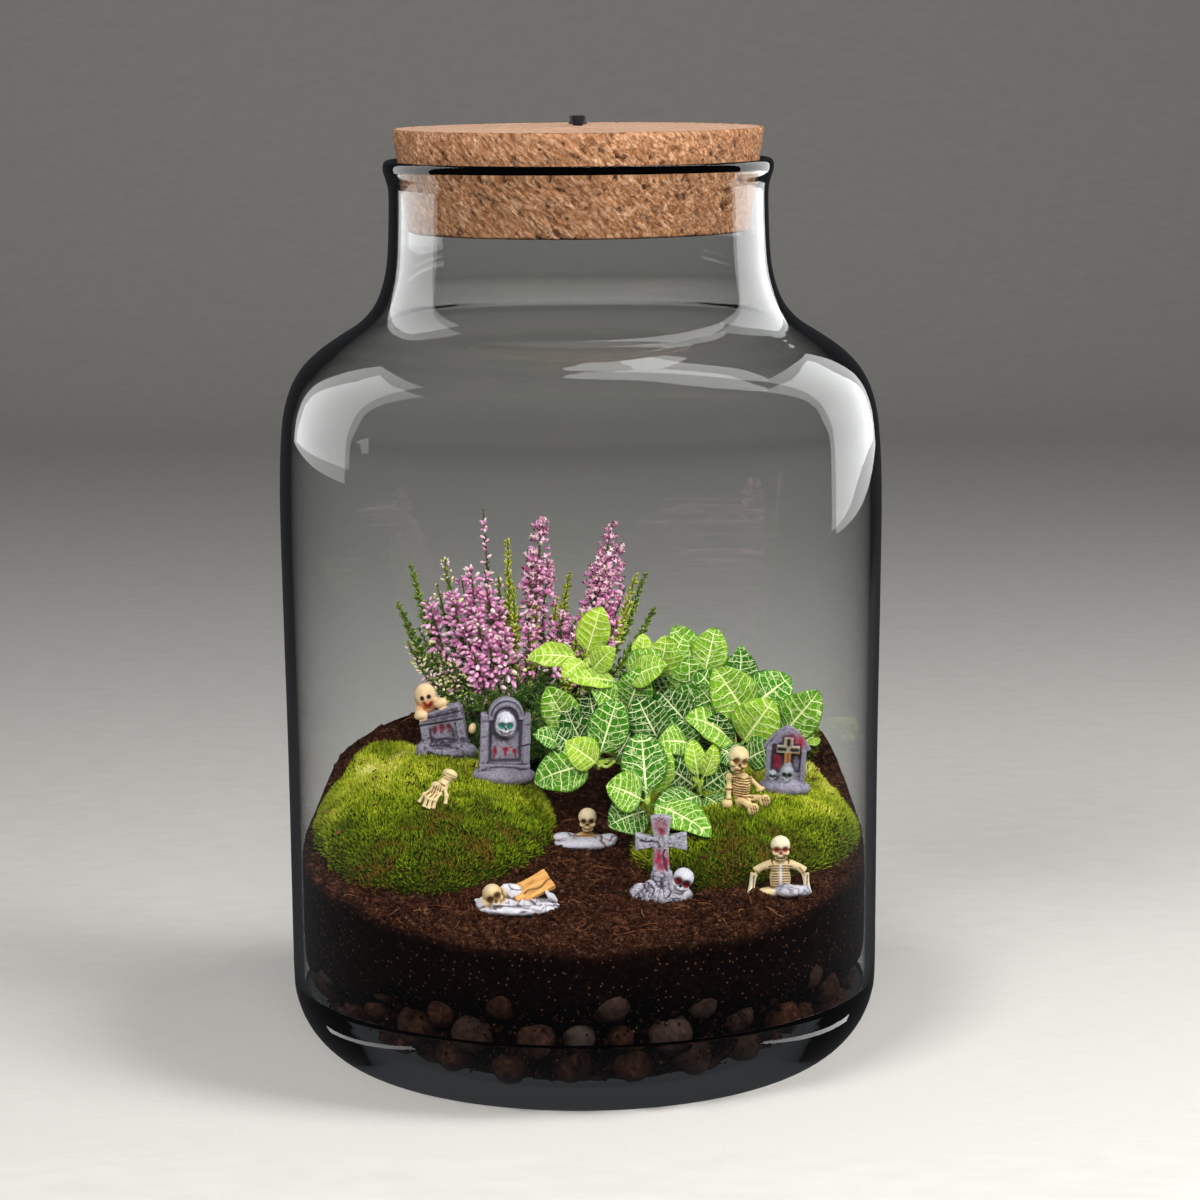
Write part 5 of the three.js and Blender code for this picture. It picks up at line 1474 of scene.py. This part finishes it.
cream_parts = [(HEAD, (4.3, 4.1, 4.8)), ((-8.2, -1.6, 13.0), (2.8, 2.4, 2.0)),
               ((-1.9, -0.8, 16.8), (2.8, 2.6, 2.2)), ((-8.8, 0.6, 14.6), (2.2, 2.2, 2.2)),
               ((-3.4, 1.4, 16.8), (2.4, 2.2, 2.2)), ((8, 1.2, 8.4), (1.8, 2.2, 2.4)),
               ((-6, 3.4, 13), (4.0, 2.6, 5.8))]
cream = np.max([ghost.lump(at, size) for at, size in cream_parts], 0)
cream = (cream * ((ghost.points[:, 1] > 2.2) | (ghost.points[:, 2] > 15) | (ghost.points[:, 0] < -6)
                  | (ghost.points[:, 0] > 6.6)))
bare = 1 - cream  # the stone, without the ghost on it
ghost.roughen(2.6, 0.75, 3, (ghost.points[:, 2] < 5.5) * bare)
ghost.roughen(1.3, 0.16, 5, bare)
for k in np.linspace(-6.9, 6.3, 22):
    ends = [on_leaning_stone(k, 10 + 0.05 * k), on_leaning_stone(k + 0.5, 12.9 + 0.15 * k)]
    ghost.groove(ends, 0.13, 0.3, bare)
ghost.groove([on_leaning_stone(-7.3, 11.2), on_leaning_stone(6.6, 12.4)], 0.18, 0.35, bare)
ghost.groove([on_leaning_stone(-7.4, 9.3), on_leaning_stone(6.6, 9.8)], 0.22, 0.7, bare)
panel = ghost.oval(-1.4, 6.6, 4.4, 4.2, LEAN, 0.4, 14)
ghost.press(panel * bare, 0.5)
for x, z, r in ((-3.7, 8.6, 0.9), (-1.4, 9.2, 1.05), (0.9, 9.6, 0.85), (-1.6, 7.7, 0.5), (1.0, 8.1, 0.4),
                (-3.9, 7.2, 0.35)):
    ghost.paint(ghost.oval(x, z, r, r * 1.15, LEAN, 0.3, 7) * bare, "#7c1420")
ghost.paint(0.7 * ghost.veins(1.7, 0.13, 6) * (ghost.points[:, 2] < 6) * bare, "#2c2833")
ghost.wash("#28242e", 1.2)
ghost.paint(cream, "#e0c193")
low = np.clip((18.4 - ghost.points[:, 2]) / 3.6, 0, 1) * ghost.lump(HEAD, (4.6, 4.4, 5.2))
ghost.paint(0.8 * low, "#c9793a")
ghost.grit *= 1 - 0.95 * cream
for x, z in ((-7.7, 18.5), (-5.6, 19.0)):
    ghost.paint(ghost.oval(x, z, 0.72, 0.78, 0, 0.1, 12), "#17100e")
smile = ghost.line([(-7.1, 17.0), (-6.5, 16.0), (-5.5, 16.1), (-4.9, 17.0)], 0.5)
ghost.paint(1.5 * smile, "#a81f18")
ghost.stand("ghost_on_gravestone", -43.5, 30, -6, "grey_resin", "ghost_gravestone", 1.8)

# %% Skull gravestone
arch = [(5.6 * np.cos(a), 20.0 + 5.8 * np.sin(a)) for a in np.linspace(0, np.pi, 15)]
front = [(-7.6, 4), (7.6, 4), (7.6, 20.2), *arch, (-7.6, 20.2)]
parts = [plate(front, (0, 13), 4.4), ball((9.9, 6.2, 3.6), (0, -0.6, 1.0)), bar((-8.1, 8.1), (2.4, 4.9), 7.0),
         bar((-7.9, -5.9), (4.6, 20.6), 5.2), bar((5.9, 7.9), (4.6, 20.6), 5.2),
         ball((4, 3, 2.4), (6, -2.6, 1.4))]
SKULL = (0.7, -1.6, 17.4)
parts = [tilted(part, 2.5) for part in parts] + skull_parts(5.9, SKULL, 2.5)
stone = Casting(parts, "#8f8a97", 0.7)
x, z = stone.points[:, 0] - 0.0436 * stone.points[:, 2], stone.points[:, 2]
beyond = np.where(z > 18.8, np.hypot(x, z - 18.8) - 4.1, np.abs(x) - 5.2)  # mm outside the panel
inner = 1 / (1 + np.exp(np.clip(6 * beyond, -50, 50)))
skull_zone = stone.lump(SKULL, (3.4, 9, 4.4))
panel = inner * (z > 5.6) * (stone.normal[:, 1] < -0.3) * (1 - skull_zone)
stone.press(panel, 1.1)
ring = (np.exp(-(((np.hypot(x, z - 20) - 4.7) / 0.22) ** 2)) * (z > 20) * (stone.normal[:, 1] < -0.3)
        * (1 - skull_zone))
stone.press(ring, 0.35)
for height, side in ((9.4, -1), (13.6, -1), (17.2, 1), (18.6, -1)):
    lines = [(side * 5.8 + 0.044 * height, height), (side * 8.2 + 0.044 * height, height)]
    stone.groove(lines, 0.15, 0.22)
stone.groove([(8.9, 10.6), (7.6, 10.9), (5.8, 10.3)], 0.2, 0.6, wobble=0.2)
stone.roughen(4, 0.3, 13, stone.points[:, 2] < 3.6)
stone.roughen(1.2, 0.1, 15, 1 - skull_zone)
for x, z, rx, rz in ((-2.8, 9.0, 0.65, 1.5), (-3.1, 7.2, 0.35, 0.8), (0.6, 9.4, 1.1, 0.75),
                     (0.5, 8.2, 0.4, 1.1), (3.4, 8.8, 0.8, 0.8), (3.7, 7.4, 0.35, 0.9),
                     (2.2, 9.9, 0.35, 0.35), (-1.2, 6.9, 0.3, 0.3)):
    stone.paint(stone.oval(x, z, rx, rz, 0, 0.3, 7), "#8e1424")
stone.wash("#332e3b", 1.0)
stone.paint(stone.lump(SKULL, (3.4, 4.4, 4.4)) * (stone.points[:, 1] < -1.9), "#d8d5dd")
stone.skull_face(5.9, SKULL, 2.5, "#0a3f34", "#1d1c24", 1.3)
for side in (-1, 1):
    x, z = SKULL[0] + side * 1.24, SKULL[2] - 0.2
    stone.paint(stone.oval(x, z, 0.85, 0.72, -14 * side, 0, 8), "#1f8f78")
stone.paint(stone.line([(SKULL[0], SKULL[2] + 0.3), (SKULL[0], SKULL[2] - 0.6)], 0.3)
            * (stone.points[:, 1] < -3), "#d8d5dd")
stone.stand("arched_gravestone", -25, 13, 4, "grey_resin", "skull_gravestone")

# %% [markdown]
# ### The bones
#
# A hand reaches out of the moss, a skull rises from a cracked slab, a skeleton climbs out of the
# soil, and another sits on the moss. Bones are rods with knobs at the joints. A rib is a half ring
# round the chest, a little lower in front.


# %% Bones
def bone(path, radius, knob=1.35):
    """A rod that is thicker at both ends."""
    return rod(path, (radius * knob, radius, radius * 0.9, radius, radius * knob))


def ribbed(cast, middle, reach, heights, sag):
    """Presses a row of rib lines into a chest: each runs from side to side and sags."""
    for z in heights:
        for side in (-1, 1):
            ends = [(middle + side * reach, z - sag), (middle + 0.55 * side * reach, z - 0.3 * sag),
                    (middle + side * 0.5, z)]
            cast.groove(ends, 0.17, 0.34)


# %% Bone hand
fingers = [((-2.3, -1.5, 5.0), (-4.8, -2.4, 3.6), (-6.4, -3.2, 1.4)),
           ((-1.7, -1.9, 4.5), (-3.8, -3.6, 2.8), (-4.9, -4.6, 0.2)),
           ((-0.9, -2.1, 4.0), (-2.6, -4.0, 2.3), (-3.5, -5.1, -0.3)),
           ((-0.1, -2.1, 3.7), (-1.3, -4.0, 2.2), (-1.9, -5.0, -0.3)),
           ((1.5, -1.0, 5.0), (2.1, -2.6, 3.2), (1.7, -3.6, 0.8))]
hand = [ball((2.4, 2.0, 1.7), (3.0, 2.2, 8.9), 20),
        rod([(3.0, 2.2, 8.6), (1.6, 1.0, 7.2), (0.6, 0.2, 6.0)], (1.9, 1.5, 1.9)),
        ball((2.6, 1.7, 1.9), (-0.5, -0.6, 5.2), 35), rod([(2.2, 1.5, 6.6), (1.5, -0.6, 5.2)], (0.9, 0.9))]
for root, middle, tip in fingers:
    hand += [bone([root, middle], 0.64, 1.25), bone([middle, tip], 0.6, 1.2), ball((0.85, 0.85, 0.8), middle),
             ball((0.95, 0.9, 0.85), root)]
hand = Casting(hand, "#d3bf8e", 0.1, 0.19)
for k in range(4):
    hand.groove([(0.6 - 0.75 * k, 6.5 - 0.15 * k), (0.0 - 0.85 * k, 4.4 - 0.1 * k)], 0.15, 0.3)
for z in (7.6, 8.3, 9.3):
    hand.groove([(0.8, z + 0.9), (4.6, z - 0.9)], 0.16, 0.25)
hand.wash("#663810", 1.3)
hand.stand("bony_hand", -44, -13, 0, "bone_resin", "bone_hand")

# %% Rising skull
parts = [ball((9.6, 6.6, 2.4), (0, 0, 0.5)), ball((4.4, 3, 1.9), (-5.6, 0.8, 1.5), 8),
         ball((4.0, 3, 1.8), (6.2, 0, 1.2), -6),
         rod([(0.7, 0.6, 0.5), (0.7, 0.3, 3), (0.7, 0.1, 5.0)], (1.9, 1.3, 1.5)),
         ball((3.2, 2.4, 1.6), (0.2, 0.2, 2.2))]
riser = Casting(parts + skull_parts(5.9, (0.8, -0.5, 7.7)), "#cbc7d2", 0.2)
bony = riser.lump((0.8, 0, 6.6), (3.8, 4.4, 5.4)) * (riser.points[:, 2] > 2.6)
riser.roughen(2.6, 0.35, 23, 1 - bony)
q = riser.points
scored = riser.veins(2.2, 0.12, 4) * (1 - bony) * (q[:, 2] > 1.2) * (np.abs(q[:, 0]) > 2.6) * (q[:, 1] > -3.4)
riser.press(scored, 0.2)
riser.paint(0.9 * scored, "#29252e")
riser.paint(riser.line([(3.4, 3.0), (4.6, 2.3), (5.6, 1.2), (6.4, 0)], 0.28, 0.5), "#5c3620")
riser.wash("#4c4553", 0.7)
riser.paint(bony, "#e0c78e")
for z in (3.0, 3.6, 4.2, 4.8):
    riser.groove([(-0.7, z), (2.1, z)], 0.16, 0.3)
riser.paint(np.clip((5.0 - q[:, 2]) / 2, 0, 0.75) * bony, "#9a6a30")
riser.wash("#7d4c20", 0.7)
riser.skull_face(5.9, (0.8, -0.5, 7.7), 0, "#422512")
riser.stand("skull_from_slab", 0.5, -12, 0, "pale_resin", "rising_skull")

# %% Rising skeleton
parts = [ball((3.1, 2.1, 5.2), (0, 0.4, 4.2)), ball((3.5, 1.9, 2.0), (0, 0.4, 7.9)),
         rod([(0, 0.3, 8.6), (0, 0, 10.8)], (1.5, 1.5)),
         rod([(-2.4, 0.3, 8.6), (-5.2, 0.3, 7.8), (-7.4, 0.2, 6.5)], (1.5, 1.15, 1.3)),
         rod([(2.4, 0.3, 8.6), (5, 0.2, 7.8), (7.1, 0, 6.4)], (1.5, 1.15, 1.3)),
         bone([(-7.6, 0.1, 6.0), (-8.2, -0.2, 3), (-8.7, -1.0, -0.4)], 1.0, 1.2),
         bone([(7.2, -0.2, 5.9), (7.5, -0.8, 3), (7.7, -1.8, 0.4)], 1.0, 1.2),
         rod([(7.7, -1.6, 1.4), (7.0, -2.4, 0)], (0.8, 0.6)),
         rod([(7.9, -1.6, 1.4), (8.4, -2.4, 0)], (0.8, 0.6)), ball((4.4, 3.2, 1.9), (3.0, -2.8, 0.9), -4),
         ball((2.2, 2.0, 1.6), (6.2, -3.0, 1.0)), ball((6.5, 3.4, 1.5), (-0.5, 0.6, 0.1)),
         *skull_parts(6.0, (0, -0.5, 13.7))]
climber = Casting(parts, "#d6c092", 0.1, 0.2)
stony = np.maximum(climber.lump((3.4, -2.8, 0.9), (5.2, 3.6, 2.3)),
                   climber.lump((6.2, -3.0, 1.0), (2.6, 2.4, 2.0)))
climber.roughen(2, 0.35, 43, stony)
ribbed(climber, 0, 3.2, np.arange(2.0, 8.9, 0.78), 0.3)
for x in (-8.0, 7.5):
    climber.groove([(x + 0.2, 5.2), (x, 1.4)], 0.18, 0.35)
for x in (-6.8, 6.5):
    climber.groove([(x - 1, 7.6), (x + 0.6, 5.4)][:: 1 if x > 0 else -1], 0.16, 0.3)
for z in (10.0, 10.7):
    climber.groove([(-1.6, z), (1.6, z)], 0.15, 0.25)
climber.paint(0.85 * climber.line([(0, 2), (0, 8.2)], 0.55), "#cfcdd6")
climber.paint(0.8 * (np.abs(climber.points[:, 0]) > 6.4) * (climber.points[:, 2] < 5.6), "#dcd2b8")
climber.wash("#6b431c", 1.3)
climber.paint(0.9 * stony, "#aeb0c4")
climber.paint(0.7 * stony * climber.veins(1.4, 0.16, 8), "#2c2a35")
climber.paint(0.8 * climber.lump((0, -0.5, 14.6), (3.6, 3.6, 3.2)), "#e2d8bf")
climber.skull_face(6.0, (0, -0.5, 13.7), 0, "#963218")
climber.paint(0.8 * climber.line([(-2.3, 13.7), (2.3, 13.7)], 0.35), "#7a2a18")
climber.stand("climbing_skeleton", 58.2, -47.8, 0, "bone_resin", "rising_skeleton", 0.3, soil_height)

# %% Sitting skeleton
parts = [ball((2.9, 2.2, 4.2), (-0.2, 0.7, 7.2), 6), ball((3.0, 1.7, 1.7), (-0.8, 0.8, 10.3)),
         rod([(-0.8, 0.7, 11), (-1.2, 0.2, 13)], (1.7, 1.8)), ball((3.2, 2.7, 2.4), (0.9, 0.4, 3.0)),
         ball((1.2, 1.2, 1.2), (-3.9, 0.7, 10.6)), bone([(-3.9, 0.7, 10.4), (-4.2, 0.4, 7.2)], 0.85),
         bone([(-4.2, 0.4, 7.0), (-4.5, -0.7, 3.6)], 0.8), ball((1.7, 1.5, 1.5), (-5.0, -1.1, 2.6)),
         bone([(2.2, 0.7, 10), (4.2, 0.4, 8.2), (5.2, -0.8, 7.0)], 0.7),
         ball((1.4, 1.0, 0.7), (5.4, -1.4, 6.8), -20),
         bone([(-0.6, -0.6, 3.2), (0.4, -3.2, 3.0), (2.0, -5.2, 1.8)], 1.15, 1.2),
         bone([(2.4, -0.4, 3.6), (4.4, -2, 4.2), (5.8, -3.4, 3.9)], 1.15, 1.2),
         ball((1.7, 1.3, 2.0), (2.2, -5.8, 1.5), 25), ball((1.7, 1.2, 2.0), (6.2, -4.0, 3.7), 15),
         *skull_parts(6.7, (-1.4, -0.2, 16.2), 12)]
sitter = Casting(parts, "#d4bb86", 0.1, 0.19)
for k in range(8):
    z = 4.6 + 0.78 * k
    rib = [(-3.0, z + 0.5), (-1.4, z + 0.1), (0.6, z - 0.25), (3.0, z - 0.2)]
    sitter.paint(0.5 * sitter.groove(rib, 0.19, 0.5, wobble=0.25), "#8a5f30")
for foot_x, foot_z in ((2.2, 1.5), (6.2, 3.7)):
    for k in (-0.9, 0, 0.9):
        sitter.groove([(foot_x + 0.8 * k - 0.3, foot_z + 1.2), (foot_x + 0.8 * k + 0.4, foot_z - 1.8)], 0.16,
                      0.35)
    sitter.groove([(foot_x - 1.6, foot_z + 0.5), (foot_x + 1.8, foot_z - 0.1)], 0.14, 0.25)
for z in (12.2, 12.9):
    sitter.groove([(-3, z), (1, z)], 0.18, 0.4)
sitter.groove([(-5.6, 6.9), (-3.4, 6.7)], 0.2, 0.4)
sitter.groove([(-5.8, 4.0), (-3.6, 3.9)], 0.2, 0.4)
sitter.wash("#70441a", 1.4)
sitter.paint(0.6 * sitter.lump((-1.6, -0.4, 17), (3.8, 3.8, 3.2)), "#e3d3ac")
sitter.skull_face(6.7, (-1.0, -0.2, 16.0), 12, "#7d5226", "#7a4c20")
sitter.stand("sitting_skeleton_figure", 49, -13, 8, "bone_resin", "sitting_skeleton", 1.6)

# %% [markdown]
# ### The cross, the coffin and the chapel stone
#
# The cross is cracked stone with flared arms and a little skull at its foot. The coffin lies broken
# in the soil: white slabs, a skull and a wooden lid with its grain. The chapel stone has a roof
# edge, a brown and gold cross and two small skulls.

# %% Cross gravestone
outline = [(-2.5, 6.4), (2.5, 6.4), (2.2, 15.7), (7.7, 14.5), (7.6, 19.8), (2.2, 18.7), (3.1, 24.7),
           (0, 25.3), (-3.1, 24.7), (-2.2, 18.7), (-7.6, 19.8), (-7.7, 14.5), (-2.2, 15.7)]
parts = [plate(outline, (0, 17.4), 3.4), ball((8.8, 5.6, 3.6), (0.4, 0, 0.8)),
         ball((3.6, 3.2, 3.2), (-6, -1.2, 1.2)), ball((3.4, 3.0, 5.6), (0.2, 0, 4.4)),
         ball((2.6, 2.4, 3), (3.2, 0.6, 3.6)), ball((2.4, 2.2, 2.6), (-3, -1.6, 3)),
         *skull_parts(6.4, (6.2, -2.6, 5.6), 25)]
cross = Casting(parts, "#aeaab5", 1.0)
boned = cross.lump((6.2, -2.6, 5.4), (3.9, 4.4, 4.4))
cross.roughen(3.4, 0.6, 51, (cross.points[:, 2] < 8) * (1 - boned))
cross.roughen(1.1, 0.2, 53, 1 - boned)
scored = cross.veins(1.5, 0.13, 9) * (1 - boned) * np.clip((9 - cross.points[:, 2]) / 2, 0, 1)
cross.press(scored, 0.15)
cross.paint(0.85 * scored, "#25212b")
for crack in ([(-6, 17.6), (-3.8, 17.0), (-1.4, 17.4), (-0.4, 16.2), (-0.2, 15.4)],
              [(1.4, 14.4), (0.6, 12.6), (0.8, 10.4), (1.8, 8.6)], [(-4, 5), (-2.2, 3.4), (-3, 1.6)],
              [(2, 4.6), (2.8, 2.6), (1.6, 1)]):
    cross.paint(0.8 * cross.groove(crack, 0.2, 0.5, wobble=0.5), "#2b2630")
for x, z, rx, rz in ((0, 22.4, 1.9, 2.1), (0.3, 20.4, 0.9, 1.2), (-0.9, 12.2, 1.5, 3.0),
                     (1.6, 11.6, 0.8, 2.6), (0, 9.6, 1.6, 1.0)):
    patch = cross.oval(x, z, rx, rz, 0, 0.25, 5) * np.clip(0.75 + 0.6 * rough(cross.points, 1.6, 61), 0, 1)
    cross.paint(patch, "#a3163a")
cross.wash("#3a3542", 1.0)
cross.paint(boned, "#d3d0d6")
cross.grit *= 1 - 0.85 * boned
cross.skull_face(6.4, (6.2, -2.6, 5.6), 25, "#160b0d", "#1d1213", 1.35)
for x, z in ((4.95, 5.98), (7.27, 4.89)):
    cross.paint(cross.oval(x, z, 1.0, 1.0, 0, -0.6, 9) * boned, "#5a0612")
    cross.paint(0.8 * cross.oval(x - 0.2, z - 0.2, 0.5, 0.5, 0, -0.6, 9) * boned, "#8a1222")
cross.stand("stone_cross", 23, -48.5, 0, "pale_resin", "cross_gravestone")

# %% Broken coffin
LID_PLACE, LID_TURN = (4.8, 1.2, 5.6), (20, -24, 42)


def turned_about(yaw, pitch=0.0, roll=0.0):
    """The matrix of a turn about X by roll, then Y by pitch, then Z by yaw, in degrees."""
    turns = [Matrix.Rotation(np.radians(by), 3, axis) for by, axis in ((yaw, "Z"), (pitch, "Y"), (roll, "X"))]
    return np.array(turns[0] @ turns[1] @ turns[2])


def slab(length, width, thick, at, *turn):
    """A block turned by yaw, pitch and roll, in degrees."""
    block = bar((-length / 2, length / 2), (-thick / 2, thick / 2), width)
    return block[0] @ turned_about(*turn).T + at, block[1]


parts = [ball((12.4, 8.2, 2.2), (0, -0.5, 0.4)), slab(9, 7, 1.6, (-3.4, -2.6, 2.4), 12, 6, 14),
         slab(7, 6, 1.5, (4.6, -4.4, 1.6), -14, 10, 10), slab(8, 6, 1.5, (8, -1, 1.4), 30, 12, 4),
         slab(12, 4, 2.6, (-1, 4.4, 2.2), 16), slab(6, 5, 1.4, (-9, 1.6, 1.6), 40, -8),
         slab(12, 6.6, 2.0, LID_PLACE, *LID_TURN), slab(4, 3, 1, (10.4, -0.6, 3.4), 50, 30, 40),
         ball((4.6, 2.6, 3.4), (-1, 0.8, 3.6), 20), ball((3.4, 2, 2.6), (-8.6, -2.6, 1.6)),
         *skull_parts(6.0, (-6.6, -2.4, 4.2), -32)]
coffin = Casting(parts, "#cfccd4", 0.3)
lid = (coffin.points - LID_PLACE) @ turned_about(*LID_TURN)
wood = ((np.abs(lid[:, 0]) < 6.25) & (np.abs(lid[:, 1]) < 3.55) & (np.abs(lid[:, 2]) < 1.25)).astype(float)
boned = coffin.lump((-6.6, -2.4, 4.0), (3.8, 4.2, 4.2))
coffin.roughen(2.4, 0.4, 71, (1 - wood) * (1 - boned))
grain = 1.5 * rough(lid * [0.22, 1, 1], 1.3, 7)
coffin.points += coffin.normal * (0.14 * grain * wood)[:, None]
coffin.turn_out()
scored = coffin.veins(3.4, 0.06, 17) * (1 - wood) * (1 - boned)
coffin.press(scored, 0.2)
coffin.paint(0.8 * scored, "#2a2630")
coffin.wash("#4a4452", 0.9)
coffin.paint(wood, "#dba661")
coffin.paint(wood * np.clip(0.4 - 0.8 * grain, 0, 1) * 0.7, "#8f5422")
split = wood * np.exp(-(((lid[:, 1] + 0.9 + 0.5 * np.sin(0.9 * lid[:, 0])) / 0.26) ** 2)) * (lid[:, 0] > -3.4)
coffin.points[:, 2] -= 0.4 * split
coffin.paint(split, "#4d2a12")
coffin.paint(boned, "#cfb27a")
coffin.grit *= 1 - 0.8 * np.maximum(wood, boned)
coffin.skull_face(6.0, (-6.6, -2.4, 4.2), -32, "#4a2812", "#4a2812", 1.2)
coffin.wash("#5d452c", 0.45)
coffin.stand("coffin_in_pieces", -20, -55, 0, "pale_resin", "broken_coffin")

# %% Chapel gravestone
front = [(-6, 2.6), (5.8, 2.6), (6.2, 13.4), (2.4, 18.3), (0, 19.4), (-2.4, 18.2), (-6.4, 13.2)]
parts = [plate(front, (0, 10), 4.6, 0.4), ball((8.2, 5, 3.2), (0, -0.6, 0.8)),
         bar((-6.4, -4.9), (2.6, 13), 5.4, 0.4), bar((4.7, 6.2), (2.6, 13), 5.4, 0.4),
         rod([(-7.0, -0.2, 12.6), (-4.6, -0.2, 15.6), (-2.4, -0.2, 18), (0, -0.2, 19.2), (2.4, -0.2, 18.1),
              (4.6, -0.2, 15.7), (6.9, -0.2, 12.8)], (1.1, 1.0)), bar((-0.6, 1.4), (6.4, 16.6), 1.8, -2.6),
         bar((-3.2, 4.0), (11.9, 14.3), 1.8, -2.6), bar((-1.0, 1.9), (14, 16.8), 1.8, -2.6),
         *skull_parts(4.2, (0.6, -3.2, 5.4)), *skull_parts(2.8, (-3.9, -3.2, 4.6)),
         ball((1.2, 1, 0.8), (0.8, -3, 8.3))]
chapel = Casting([tilted(part, 4) for part in parts], "#837d8c", 0.6)
q = chapel.points
base = q[:, 2] < 4.2
chapel.roughen(3, 0.35, 81, base)
chapel.roughen(1.3, 0.12, 83)
upright_x = q[:, 0] - 0.07 * q[:, 2]
panel = ((np.abs(upright_x) < 4.6) & (q[:, 2] > 5.5) & (q[:, 2] < 14.5) & (q[:, 1] > -2.6)
         & (chapel.normal[:, 1] < -0.4))
cross_zone = chapel.line([(0.95, 6.6), (1.55, 16.6)], 1.15) + chapel.line([(-1.7, 13.3), (4.5, 12.9)], 1.15)
chapel.press(panel * np.clip(1 - 1.6 * cross_zone, 0, 1), 0.5)
chapel.paint(panel * (upright_x < -0.3) * (q[:, 2] > 5.4) * np.clip(1.1 + 0.7 * rough(q, 2, 91), 0, 1),
             "#8c0f2a")
chapel.wash("#2f2b38", 1.1)
chapel.paint(chapel.oval(4.6, 15.6, 2.2, 1.9, 40, 0.2, 4) * np.clip(0.8 + 0.7 * rough(q, 1.4, 93), 0, 1),
             "#8f1832")
chapel.paint(chapel.oval(1.6, 16.6, 1.6, 0.9, -35, 0.2, 4) * 0.7, "#7c1a30")
crossed = (q[:, 1] < -2.35) & (q[:, 2] > 8.9) & (q[:, 2] < 17.6)
chapel.paint(0.95 * crossed, "#a89f86")
chapel.paint(0.95 * crossed * (q[:, 2] < 12.0), "#a8703a")
chapel.paint(0.85 * crossed * chapel.line([(1.05, 8), (1.35, 11.8)], 0.35), "#5f3815")
inset = (chapel.line([(-1.6, 13.3), (0.4, 13.15)], 0.6) + chapel.line([(2.4, 13.0), (4.3, 12.9)], 0.6)
         + chapel.line([(1.5, 14.6), (1.6, 16)], 0.6))
chapel.paint(1.3 * crossed * inset, "#14100f")
chapel.paint(0.35 * base, "#a39db2")
for size, at in ((4.2, (1.0, -3.2, 5.4)), (2.8, (-3.55, -3.2, 4.9))):
    chapel.paint(chapel.lump(at, np.array([0.6, 0.8, 0.75]) * size), "#9fa3ab")
    chapel.skull_face(size, at, 4, "#121016", teeth=None, wide=1.2)
chapel.stand("chapel_stone", 63, 3, -6, "grey_resin", "chapel_gravestone")
